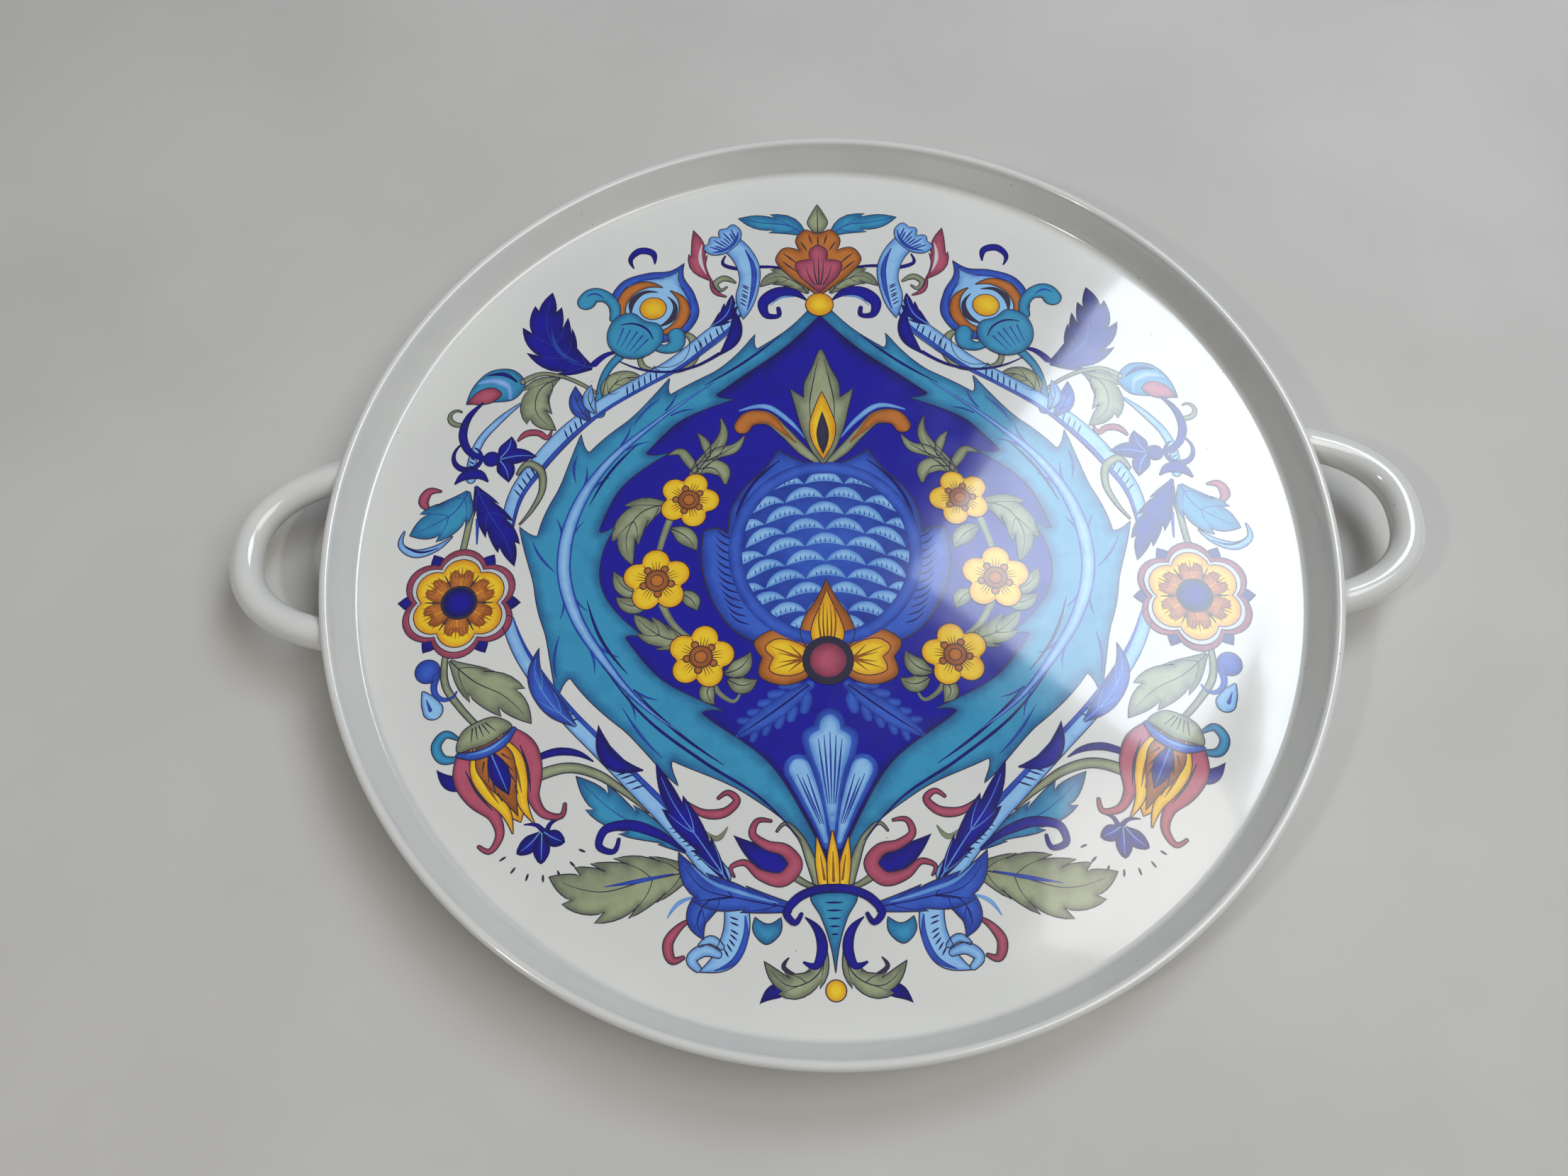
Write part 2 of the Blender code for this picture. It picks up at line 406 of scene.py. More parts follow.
# Enamel colours: deep tone at the edges and clear tone inside
ENAMELS = {
    "navy": ((14, 10, 90), (21, 15, 158)),
    "blue": ((30, 56, 156), (56, 98, 204)),
    "teal": ((32, 99, 152), (57, 152, 194)),
    "sky": ((88, 142, 216), (150, 200, 244)),
    "yellow": ((226, 150, 26), (248, 208, 44)),
    "brown": ((142, 76, 30), (198, 118, 50)),
    "rose": ((136, 54, 82), (188, 88, 112)),
    "sage": ((106, 112, 94), (162, 170, 134)),
    "ink": ((46, 42, 62), (58, 52, 80)),
    "white": ((196, 200, 206), (222, 222, 220)),
}
GRAIN_LIGHTENING = 60  # by how much the screen grain is lighter, of 255


def enamel_material(name, deep, clear):
    """Transparent enamel under glaze: pooled at the edges, cloudy inside, with a fine screen grain."""
    n = Nodes(bpy.data.materials.new(f"enamel_{name}"))
    tone = n.add("ShaderNodeAttribute", attribute_name="tone").outputs["Fac"]
    cloud = n.ramp(n.noise(170.0, 3.0), 0.25, 0.75, -0.20, 0.20)
    pooled = n.add("ShaderNodeMath", operation="ADD", use_clamp=True)
    n.link(tone, pooled.inputs[0])
    n.link(cloud, pooled.inputs[1])
    colour = n.mix(pooled.outputs[0], srgb(*deep), srgb(*clear))
    grain = n.ramp(n.noise(2600.0, 1.0), 0.62, 0.80, 0.0, 0.22)
    light = srgb(*(min(255, c + GRAIN_LIGHTENING) for c in clear))
    n.link(n.mix(grain, colour, light), n.shader.inputs["Base Color"])
    n.glaze()
    return n.owner


ENAMEL = {name: enamel_material(name, *tones) for name, tones in ENAMELS.items()}
ENAMEL_ORDER = list(ENAMELS)


def polar(x, y, radius, angle):
    return x + radius * math.cos(angle), y + radius * math.sin(angle)


def smooth(points, closed=False, step=0.8):
    """Smooth curve through points; a third value marks a sharp corner."""
    at = np.array([p[:2] for p in points], float)
    sharp = [len(p) > 2 for p in points]
    count = len(points)
    chord = [np.linalg.norm(at[(i + 1) % count] - at[i]) or 1e-6 for i in range(count)]
    slope = [(at[(i + 1) % count] - at[i]) / chord[i] for i in range(count)]

    def tangent(i):
        """Direction of the curve at point i, or None at a corner and at an open end."""
        if sharp[i] or not (closed or 0 < i < count - 1):
            return None
        before, after = chord[i - 1], chord[i]
        return (slope[i] * before + slope[i - 1] * after) / (before + after)

    curve = []
    for i in range(count if closed else count - 1):
        j = (i + 1) % count
        start, end = tangent(i), tangent(j)
        if start is None and end is None:
            start = end = slope[i]
        elif start is None:
            start = (1 + CORNER_SWING) * slope[i] - CORNER_SWING * end
        elif end is None:
            end = (1 + CORNER_SWING) * slope[i] - CORNER_SWING * start
        steps = max(2, int(math.ceil(chord[i] / step)))
        for t in np.arange(steps) / steps:
            a, b = 2 * t**3 - 3 * t**2 + 1, t**3 - 2 * t**2 + t
            c, d = 3 * t**2 - 2 * t**3, t**3 - t**2
            curve.append(a * at[i] + b * chord[i] * start + c * at[j] + d * chord[i] * end)
    if not closed:
        curve.append(at[-1])
    return np.array(curve)


def along(curve):
    """Share of the curve's length at each point, from 0 to 1."""
    length = np.concatenate(([0.0], np.cumsum(np.linalg.norm(np.diff(curve, axis=0), axis=1))))
    return length / length[-1]


def directions(curve):
    """Unit vectors along the curve and to its left, at each point."""
    ahead = np.gradient(curve, axis=0)
    ahead /= np.maximum(np.linalg.norm(ahead, axis=1), 1e-9)[:, None]
    return ahead, np.column_stack((-ahead[:, 1], ahead[:, 0]))


def measured(path, step=0.8):
    """Smooth curve through a path, with the shares of its length and its directions."""
    curve = smooth(path, step=step)
    return (curve, along(curve), *directions(curve))


def profile(values, share):
    """Smooth run through evenly spread values."""
    x = share * (len(values) - 1)
    i = np.clip(x.astype(int), 0, len(values) - 2)
    f = x - i
    v = np.concatenate(([2 * values[0] - values[1]], values, [2 * values[-1] - values[-2]]))
    a, b, c, d = v[i], v[i + 1], v[i + 2], v[i + 3]
    run = b + 0.5 * f * (c - a + f * (2 * a - 5 * b + 4 * c - d + f * (3 * (b - c) + d - a)))
    return np.clip(run, 0.0, None)


def round_ends(centre, half, ahead, side):
    """Add a round cap to each end of a stroke that is wide enough to show one."""
    for end, sign in ((0, -1), (-1, 1)):
        if half[end] > CAP_FROM:
            angles = np.radians(CAP_ANGLES)[::sign]
            cap = centre[end] + sign * np.outer(np.sin(angles), ahead[end]) * half[end]
            cap_side = np.repeat(side[end][None], len(angles), axis=0)
            pairs = (cap, centre), (half[end] * np.cos(angles), half), (cap_side, side)
            centre, half, side = (np.concatenate(pair[::-sign]) for pair in pairs)
    return centre, half, side


def edge_distance(points, outline):
    """Distance from each point to a closed outline, taken in chunks to save memory."""
    start, end = outline, np.roll(outline, -1, axis=0)
    run = end - start
    square = np.maximum((run**2).sum(axis=1), 1e-12)
    nearest = np.full(len(points), 1e9)
    chunk = 64
    for s in range(0, len(outline), chunk):
        part = slice(s, s + chunk)
        gap = points[:, None, :] - start[None, part, :]
        t = np.clip((gap * run[None, part]).sum(axis=2) / square[None, part], 0.0, 1.0)
        away = gap - t[:, :, None] * run[None, part]
        nearest = np.minimum(nearest, np.sqrt((away**2).sum(axis=2)).min(axis=1))
    return nearest


def is_inside(points, outline):
    """Whether each point lies inside a closed outline, by counting crossings."""
    inside = np.zeros(len(points), bool)
    for (x1, y1), (x2, y2) in zip(outline, np.roll(outline, -1, axis=0)):
        if y1 != y2:
            crosses = (points[:, 1] > y1) != (points[:, 1] > y2)
            inside ^= crosses & (points[:, 0] < (x2 - x1) * (points[:, 1] - y1) / (y2 - y1) + x1)
    return inside


def toothed(curve, teeth, outward=1.0):
    """Curve with thorn-like teeth; each is (share of length, height, lean along the curve)."""
    slow, steep = 17.0, 2.4  # lengths of a tooth's two flanks
    share = along(curve)
    length = np.linalg.norm(np.diff(curve, axis=0), axis=1).sum()
    ahead, side = directions(curve)
    result = []
    for i in range(len(curve)):
        offset = np.zeros(2)
        for at, height, lean in teeth:
            gap = (share[i] - at) * length
            rise, fall = (slow, steep) if lean > 0 else (steep, slow)
            u = 1 + gap / rise if gap < 0 else 1 - gap / fall
            if u > 0:
                offset += side[i] * outward * height * u**1.8 + ahead[i] * lean * u**2.4
        result.append(curve[i] + offset)
    return np.array(result)


class Motif:
    """Flat enamel shapes of one motif, which end up as one mesh or as a mirrored pair."""

    def __init__(self, name):
        self.name = name
        self.points, self.faces, self.tones, self.colours = [], [], [], []
        self.total = 0
        self.frame()

    def frame(self, x=0.0, y=0.0, turn=0.0, flip=False):
        """Place what is drawn next: turned anticlockwise about (x, y), and mirrored if asked."""
        c, s = math.cos(math.radians(turn)), math.sin(math.radians(turn))
        self.turning = np.array([[-c if flip else c, -s], [-s if flip else s, c]])
        self.origin = np.array([x, y])

    def mirrored(self, *place):
        """Run a loop twice, with its mirror image the second time, then go back to the print's frame."""
        for flip in (False, True):
            self.frame(*place, flip=flip)
            yield flip
        self.frame()

    def keep(self, points, triangles, tones, colour, level):
        """Store a finished shape, each one a hair higher than the one before."""
        placed = points @ self.turning.T + self.origin
        order = LEVEL_STEP * (len(self.points) % LEVEL_CYCLE)
        height = level + order + np.linspace(0.0, LEVEL_SLOPE, len(placed))
        self.points.append(np.column_stack((placed, height)))
        self.faces.append(np.asarray(triangles, int) + self.total)
        self.colours += [ENAMEL_ORDER.index(colour)] * len(triangles)
        self.tones.append(np.clip(tones, 0.0, 1.0))
        self.total += len(placed)

    def line(self, points, widths, colour="ink", level=5, edge=1.4, ink=0.0, closed=False, curve=None):
        """Brush stroke along a curve, with widths spread evenly along it."""
        centre = smooth(points, closed) if curve is None else curve
        if closed:
            centre = np.vstack((centre, centre[:1]))
        widths = (widths, widths) if isinstance(widths, (int, float)) else widths
        half = profile(np.array(widths, float), along(centre)) / 2
        ahead, side = directions(centre)
        if closed:
            both = side[0] + side[-1]
            side[0] = side[-1] = both / max(np.linalg.norm(both), 1e-9)
        else:
            centre, half, side = round_ends(centre, half, ahead, side)
        across = np.array([-1.0, 0.0, 1.0] if half.max() < 0.5 else [-1.0, -0.55, 0.0, 0.55, 1.0])
        grid = centre[:, None] + side[:, None] * (half[:, None] * across)[:, :, None]
        tones = (1 - np.abs(across))[None] * half[:, None] / edge
        n = len(across)
        i, k = np.meshgrid(np.arange(len(centre) - 1), np.arange(n - 1), indexing="ij")
        a = (i * n + k).ravel()
        halves = np.column_stack((a, a + 1, a + n + 1)), np.column_stack((a, a + n + 1, a + n))
        self.keep(grid.reshape(-1, 2), np.vstack(halves), tones.ravel(), colour, level)
        if ink:
            self.outline(np.vstack((grid[:, 0], grid[::-1, -1])), ink, level)

    def outline(self, curve, ink, level):
        self.line(None, ink, "ink", level + OUTLINE_LIFT, curve=curve, closed=True)

    def fill(self, points, colour, level=1, edge=2.2, ink=INK, grid=1.6, curve=None, fold=None):
        """Filled shape with pooled edges and an ink outline; the side at the fold is darker."""
        outline = smooth(points, True) if curve is None else curve
        low, high = outline.min(axis=0), outline.max(axis=0)
        x, y = np.meshgrid(np.arange(low[0], high[0], grid), np.arange(low[1], high[1], grid * 0.87))
        x[1::2] += grid / 2
        seeds = np.column_stack((x.ravel(), y.ravel()))
        seeds = seeds[is_inside(seeds, outline)]
        if len(seeds):
            seeds = seeds[edge_distance(seeds, outline) > grid * 0.45]
        every = [Vector(p) for p in np.vstack((outline, seeds))]
        found = delaunay_2d_cdt(every, [], [list(range(len(outline)))], 1, 1e-4)
        verts = np.array([tuple(v) for v in found[0]])
        tones = np.minimum(edge_distance(verts, outline) / edge, 1.0)
        if fold is not None:
            reach = np.sqrt(((verts[:, None] - fold[None]) ** 2).sum(axis=2)).min(axis=1)
            tones *= 0.45 + 0.55 * np.clip(reach / max(reach.max(), 1e-6) * 1.7, 0.0, 1.0)
        self.keep(verts, found[2], tones, colour, level)
        if ink:
            self.outline(outline, ink, level)

    def half(self, points, colour, level=1, **options):
        """Filled shape, symmetric about the frame's y axis, given by its left half, top to bottom."""
        right = [(-p[0], *p[1:]) for p in points[::-1] if abs(p[0]) > 1e-9]
        self.fill(list(points) + right, colour, level, **options)

    def dot(self, x, y, radius, colour, level=2, ink=INK):
        angles = np.radians(np.arange(0, 360, 12))
        curve = np.column_stack((x + radius * np.cos(angles), y + radius * np.sin(angles)))
        self.fill(None, colour, level, radius * 0.7, ink, max(0.8, radius / 3), curve=curve)

    def curl(self, x, y, heading, turn, length, widths, colour, level, power, ink=0.0):
        """Tendril that starts straight along its heading and winds up by turn degrees."""
        s = np.linspace(0.0, 1.0, max(12, int(length / 0.7)))
        angle = np.radians(heading + turn * s**power)
        step = np.column_stack((np.cos(angle), np.sin(angle))) * length / (len(s) - 1)
        curve = np.vstack(([x, y], [x, y] + np.cumsum((step[1:] + step[:-1]) / 2, axis=0)))
        self.line(None, widths, colour, level, curve=curve, ink=ink)

    def leaf(self, spine, widths, colour, level=1, teeth=0, depth=0.35, veins=0, rib="ink", edge=2.0,
             ink=INK):
        """Leaf or petal about a spine, with saw teeth that lean towards its tip."""
        centre = smooth(spine)
        share = along(centre)
        if teeth:
            runs = [np.linspace(k, k + 0.999, 7) / teeth for k in range(teeth)]
            t = np.unique(np.concatenate(runs + [[1.0]]))
        else:
            t = np.linspace(0.0, 1.0, max(12, len(centre)))
        mid = np.column_stack([np.interp(t, share, centre[:, axis]) for axis in (0, 1)])
        ahead, side = directions(mid)
        half = profile(np.array(widths, float), t) / 2
        phase = t * teeth % 1.0 if teeth else np.ones(len(t))
        phase[-1] = 1.0
        reach = half * (1 - depth * (1 - phase) ** 1.8)
        lean = ahead * (half * depth * phase**2 * (1.3 if teeth else 0.0))[:, None]
        left, right = mid + side * reach[:, None] + lean, mid - side * reach[:, None] + lean
        if half[0] > 0.05:
            outline = np.vstack((left[:-1], mid[-1:], right[:-1][::-1]))
        else:
            outline = np.vstack((mid[:1], left[1:-1], mid[-1:], right[1:-1][::-1]))
        grid = max(0.9, min(1.6, half.max() / 3))
        self.fill(None, colour, level, edge, ink, grid, curve=outline, fold=right)
        if rib:
            cut = max(3, int(len(mid) * 0.9))
            self.line(None, (0.42, 0.34, 0.15), rib, level + 0.7, curve=mid[:cut])
        spaces = teeth or veins + 1.0
        for k in range(veins):
            root, run = (k + 0.25, 0.66) if teeth else (k + 0.6, 0.9)
            i = int(np.searchsorted(t, root / spaces * 0.96))
            j = min(len(t) - 1, int(np.searchsorted(t, root / spaces + run / spaces)))
            for rim in (left, right):
                end = mid[i] + (rim[j] - mid[i]) * 0.8
                bend = (mid[i] + end) / 2 + ahead[i] * -0.12 * np.linalg.norm(end - mid[i])
                self.line([mid[i], bend, end], (0.3, 0.22, 0.08), rib or "ink", level + 0.7)

    def sprig(self, path, count, length, width, colour, level, rib):
        """Short round leaflets in pairs along a stem, smaller towards its tip."""
        curve, share, ahead, side = measured(path)
        for k in range(count):
            at = 0.08 + 0.86 * k / count
            i = int(np.searchsorted(share, at))
            size = 1.0 - 0.45 * at
            for hand in (-1, 1):
                tip = curve[i] + side[i] * hand * length * size * 0.8 + ahead[i] * length * size * 0.62
                middle = curve[i] + side[i] * hand * length * size * 0.46 + ahead[i] * length * size * 0.22
                widths = (0.6 * width, width * size, width * size * 0.8)
                self.line([curve[i], middle, tip], widths, colour, level)
        self.line(path, (width * 0.8, width * 0.8, width * 0.3), colour, level + 0.3)
        self.line(path, (0.5, 0.6, 0.2), rib, level + 1)

    def flower(self, x, y, radius, petals=5, colour="yellow", heart="brown", level=3, turn=90.0,
               spread=0.62, plump=0.43):
        """Open flower about a dotted heart; each petal is a circle of radius plump, spread out."""
        half_step = math.pi / petals
        angles = np.radians(np.arange(0, 360, 5))
        phi = (angles + half_step) % (2 * half_step) - half_step
        reach = spread * np.cos(phi) + np.sqrt(np.maximum(plump**2 - (spread * np.sin(phi)) ** 2, 0.0))
        at = angles + math.radians(turn)
        curve = np.column_stack((x + radius * reach * np.cos(at), y + radius * reach * np.sin(at)))
        self.fill(None, colour, level, radius * 0.16, INK, 1.1, curve=curve)
        for k in range(petals):
            a = math.radians(turn + 360 / petals * k)
            seam = [(x, y), polar(x, y, radius * 0.66, a + half_step)]
            self.line(seam, (0.5, 0.4, 0.3), "brown", level + 0.7)
            for swing in (-0.22, 0.0, 0.22):
                streak = [polar(x, y, radius * 0.3, a + swing), polar(x, y, radius * 0.66, a + swing * 0.8)]
                self.line(streak, (0.5, 0.1), "brown", level + 0.8)
        for k in range(petals):
            seam_angle = math.radians(turn + 360 / petals * (k + 0.5))
            self.dot(*polar(x, y, radius * 0.44, seam_angle), radius * 0.12, "brown", level + 1, INK_FINE)
        self.dot(x, y, radius * 0.36, heart, level + 2)
        ring = [polar(x, y, radius * 0.2, a) for a in np.radians(range(0, 360, 45))]
        self.line(ring, INK, "ink", level + 2.8, closed=True)

    def ticks(self, path, first, last, count, length, level=4):
        """Short slanting strokes across a stem between two shares of its length."""
        lean = 0.25
        curve, share, ahead, side = measured(path)
        for t in np.linspace(first, last, count):
            i = min(int(np.searchsorted(share, t)), len(curve) - 1)
            swing = side[i] * length / 2
            start = curve[i] - swing - ahead[i] * lean * length
            end = curve[i] + swing + ahead[i] * lean * length
            self.line([start, end], (0.2, 0.5, 0.5, 0.1), "navy", level)

    def make(self, mirrored):
        """Turn the shapes into one mesh on the axis, or into a left and a right one."""
        points, faces = np.vstack(self.points), np.vstack(self.faces)
        tones = np.concatenate(self.tones)
        pieces = []
        for side in ("_left", "_right") if mirrored else ("",):
            name = self.name + side
            u, v, level = points.T * ([[-1], [1], [1]] if side == "_right" else 1)
            c, s = math.cos(PRINT_TILT), math.sin(PRINT_TILT)
            x, y = (PRINT_SHIFT_X + u * c + v * s) * MM, (v * c - u * s) * MM
            place = np.column_stack((x, y, FLOOR_Z + (level + 1) * LAYER))
            p, q, r = (place[faces[:, k], :2] for k in range(3))
            area = (q[:, 0] - p[:, 0]) * (r[:, 1] - p[:, 1]) - (q[:, 1] - p[:, 1]) * (r[:, 0] - p[:, 0])
            solid = np.abs(area) > 1e-13
            upward = np.where((area < 0)[:, None], faces[:, ::-1], faces)[solid]
            paint = np.array(self.colours)[solid]
            mesh = bpy.data.meshes.new(name)
            mesh.from_pydata(place.tolist(), [], upward.tolist())
            tone = mesh.attributes.new("tone", "FLOAT", "POINT")
            tone.data.foreach_set("value", tones.astype(np.float32))
            used = sorted(set(paint.tolist()))
            piece = new_object(name, mesh, *(ENAMEL[ENAMEL_ORDER[k]] for k in used))
            mesh.polygons.foreach_set("material_index", np.searchsorted(used, paint).astype(np.int32))
            mesh.update()
            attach(piece, "root")
            pieces.append(piece)
        return pieces


def on_axis(draw, mirrored=False):
    """Draw a motif and make its one mesh piece, which gets the function's name."""
    m = Motif(draw.__name__)
    draw(m)
    return m.make(mirrored)


def on_both_sides(draw):
    """Draw the left one of a pair of motifs and make both."""
    return on_axis(draw, mirrored=True)


# ---------------------------------------------------------------- fired print: medallion


@on_axis
def medallion_ground(m):
    """Navy pointed oval that carries the medallion."""
    m.half([(0, 91, 1), (-9, 79), (-29, 62), (-52, 44), (-69, 23), (-77, 0), (-73, -20), (-61, -41),
            (-39, -60), (-19, -75), (-8, -90), (0, -108, 1)], "navy", 0, edge=5, grid=3, ink=0)


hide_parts("transfer_print")


@on_both_sides
def border_leaf(m):
    """Toothed teal leaf that frames one side of the medallion."""
    outer = toothed(smooth([(-1.5, 94, 1), (-10, 84), (-25, 72.5), (-52, 56), (-78, 34), (-93, 5), (-92, -21),
                            (-79, -47), (-52, -70), (-25, -83), (-10, -95), (-1, -112, 1)], step=0.5),
                    [(0.105, 5.5, -5), (0.225, 6, -6), (0.345, 7, -6), (0.465, 6.5, -5), (0.63, 7, 6),
                     (0.775, 6, 8)], -1)
    inner = toothed(smooth([(-0.5, 88, 1), (-11, 76.5), (-30, 61), (-52, 42), (-67.5, 20), (-74, 0),
                            (-70.5, -19), (-58, -40), (-38, -58.5), (-18, -74), (-7.5, -91), (-0.5, -106, 1)],
                           step=0.5),
                    [(0.2, 5.5, -6), (0.33, 6.5, -7), (0.46, 6, -6), (0.6, 5.5, 6), (0.74, 5, 7)], 1)
    m.fill(None, "teal", 1, edge=3.6, grid=1.8, curve=np.vstack((outer, inner[::-1])))
    rib = [(-37, 61), (-48, 52.5), (-60, 42),
           (-70, 32), (-79, 18), (-83.5, 4), (-84, -10), (-79, -26), (-70, -40), (-58, -54), (-45, -64)]
    m.line(rib, (0.4, 1.6, 3, 4.4, 4.6, 3.8, 2.2, 0.3), "blue", 2)
    m.line(rib, (0.1, 0.8, 2, 3.3, 3.5, 2.6, 1.1, 0.1), "sky", 3)
    curve, share, ahead, side = measured(rib, step=0.5)
    for k in range(7):
        i = int(np.searchsorted(share, 0.12 + 0.125 * k))
        lean = -1 if share[i] < 0.55 else 1
        for hand in (-1, 1):
            start = curve[i] + side[i] * hand * 1.4
            middle = start + side[i] * hand * 1.2 + ahead[i] * lean * 4.2
            end = start + side[i] * hand * 3.2 + ahead[i] * lean * 7.5
            m.line([start, middle, end], (0.7, 0.7, 0.1), "blue", 2.4)
    for tip, root in (((-53, 57.5), (-64, 44)), ((-82, 36), (-82, 22)), ((-97, 4), (-87, -10)),
                      ((-84, -50), (-84, -32)), ((-47, -76), (-63, -56))):
        middle = ((tip[0] + root[0]) / 2 - 1, (tip[1] + root[1]) / 2)
        end = (root[0] + (tip[0] - root[0]) * 0.78, root[1] + (tip[1] - root[1]) * 0.78)
        m.line([root, middle, end], (0.2, 0.9, 0.2), "blue", 2.6)
    for vein in ([(-70, -42), (-56, -59), (-38, -73), (-20, -85), (-9, -97)],
                 [(-60, -50), (-47, -63), (-32, -74)], [(-40, 60), (-28, 68), (-14, 80)],
                 [(-76, -20), (-71, -33), (-62, -45)], [(-77, 14), (-71, 26), (-62, 37)]):
        m.line(vein, (0.2, 0.9, 0.9, 0.2), "navy", 2.7)


@on_axis
def pomegranate(m):
    """Fruit with rows of overlapping scales inside a ring, and a pointed sepal on each side."""
    m.half([(0, 28), (-8, 30), (-15, 34, 1), (-19.5, 27), (-26.5, 19.5), (-30.5, 12), (-31.5, 3, 1), (-35, 5),
            (-39.5, 4, 1), (-39.8, -8), (-36.5, -20), (-29, -31), (-15, -37), (0, -38.5)],
           "blue", 1, edge=3.2, grid=2, ink=0.5)
    for _ in m.mirrored():
        for k in range(12):
            y = 3 - 2.7 * k
            x = -29.5 + 0.06 * (k - 2) ** 2
            m.line([(x, y - 2), (x - 3.4, y - 0.8), (x - 6, y + 1.8)], (0.3, 0.6, 0.1), "navy", 2)
        m.line([(-14.5, 30), (-22.5, 22.5), (-28, 12), (-29.5, 2)], (0.3, 1, 1, 0.2), "navy", 2.4)
    centre_y, wide, tall = -3.5, 27.5, 29
    angles = np.radians(np.arange(0, 360, 4))
    ring = np.column_stack((np.cos(angles), np.sin(angles)))
    m.fill(None, "blue", 2, edge=30, ink=0, grid=3, curve=ring * (wide, tall) + (0, centre_y))

    def within(u, v, more_wide, more_tall):
        return (u / (wide + more_wide)) ** 2 + ((v - centre_y) / (tall + more_tall)) ** 2 < 1

    def arch_height(dx):
        return y - 0.02 * x * dx - 0.075 * dx * dx

    pitch, rise = 13, 5.7
    for row in range(13):
        for column in range(-3, 4):
            x = (column + (0.5 if row % 2 else 0)) * pitch
            y = -33 + rise * row - 0.01 * x * x
            arch = [(x + dx, arch_height(dx), width)
                    for dx, width in ((-6.3, 0.2), (-3.4, 2.9), (0, 3.9), (3.4, 2.9), (6.3, 0.2))]
            kept = [(u, v, width) for u, v, width in arch if within(u, v, 2.4, 2.4)]
            if not within(x, y, 4, 1) or len(kept) < 2:
                continue
            m.line([(u, v) for u, v, width in kept], [width for u, v, width in kept], "sky", 3, edge=1.5)
            for dx in (-3, -1.5, 0, 1.5, 3):
                foot = arch_height(dx) - 1.5 + abs(dx) * 0.12
                m.line([(x + dx, foot), (x + dx * 1.1, foot + 1.5)], (0.45, 0.1), "blue", 3.4)
    m.line(None, 4.4, "blue", 4, edge=1.7, curve=ring * (wide + 1.6, tall + 1.6) + (0, centre_y), closed=True)


@on_axis
def pomegranate_crown(m):
    """Sage crown leaf with a flame, between two curling arms."""
    for _ in m.mirrored():
        m.line([(-1.5, 29), (-7, 34), (-13, 41), (-19, 46.5), (-25, 46), (-27, 43.2)],
               (1.8, 3.4, 3.6, 4, 5.6, 5.6), "sage", 3, ink=INK)
        m.line([(-9, 36.6), (-13, 41), (-19, 46.5), (-25, 46), (-27, 43.2)],
               (0.4, 1.8, 3.6, 5.4, 5.4), "brown", 4)
        m.line([(-6, 38.5), (-12, 46), (-19, 51), (-28, 49.5)], (0.4, 1.6, 1.8, 0.6), "sky", 2)
    m.half([(0, 74), (-3.4, 66), (-5.8, 60.5), (-6.2, 54.5, 1), (-8.2, 56), (-10.8, 58, 1), (-9.2, 51),
            (-6.4, 40), (-2.2, 31), (0, 28.5)], "sage", 5, edge=3.4)
    for x in (-2.6, 2.6):
        m.line([(x * 0.4, 70), (x, 62), (x * 1.6, 52), (x * 1.2, 40)], (0.1, 0.4, 0.3, 0.1), "ink", 5.8)
    m.leaf([(0, 30), (0, 57)], (0, 7, 8.8, 5.2, 0), "yellow", 6, rib=None)
    m.leaf([(0, 32), (0, 49)], (0, 3.2, 4.2, 2.6, 0), "ink", 7, rib=None, ink=0)


@on_axis
def pomegranate_petals(m):
    """Three petals and a round centre at the foot of the fruit."""
    m.leaf([(0, -39), (0, -13.5)], (10, 17, 14, 6, 0), "brown", 4, rib=None)
    m.leaf([(0, -38), (0, -17)], (6, 10.5, 8.5, 4, 0), "yellow", 5, rib=None)
    for x in (-2.6, -1.3, 0, 1.3, 2.6):
        m.line([(x * 0.6, -36), (x, -29), (x * 0.75, -23 + abs(x))], (0.7, 0.5, 0.1), "brown", 5.8)
    for _ in m.mirrored():
        m.fill([(-5, -36), (-10, -31.5), (-18, -31), (-23, -35), (-20.5, -40, 1), (-21.5, -45.5), (-14, -49),
                (-6, -46)], "brown", 3)
        m.fill([(-6, -38), (-11, -34.5), (-17, -34.2), (-19.5, -36.5), (-17, -40, 1), (-18.2, -44),
                (-13, -46), (-7, -44)], "yellow", 4)
        for end in ((-18, -36.2), (-15.5, -38.4), (-15.5, -41.6), (-17, -43.8), (-12, -35.8), (-12.5, -44.8)):
            m.line([(-7.5, -40.5), ((end[0] - 7.5) / 2, (end[1] - 40.5) / 2), end],
                   (0.8, 0.5, 0.1), "brown", 4.8)
    m.dot(0, -41, 7.9, "ink", 6)
    m.dot(0, -41, 5.6, "rose", 7, ink=0)


@on_both_sides
def oak_spray(m):
    """Lobed spray under the petals."""
    path = [(-6, -49), (-13, -54.5), (-20, -59.6), (-28, -65)]
    m.leaf(path, (2.4, 5.2, 6, 5, 1.8), "blue", 1.6, rib=None, ink=0, edge=1.2)
    m.sprig(path, 5, 6.6, 4, "blue", 1, rib="navy")


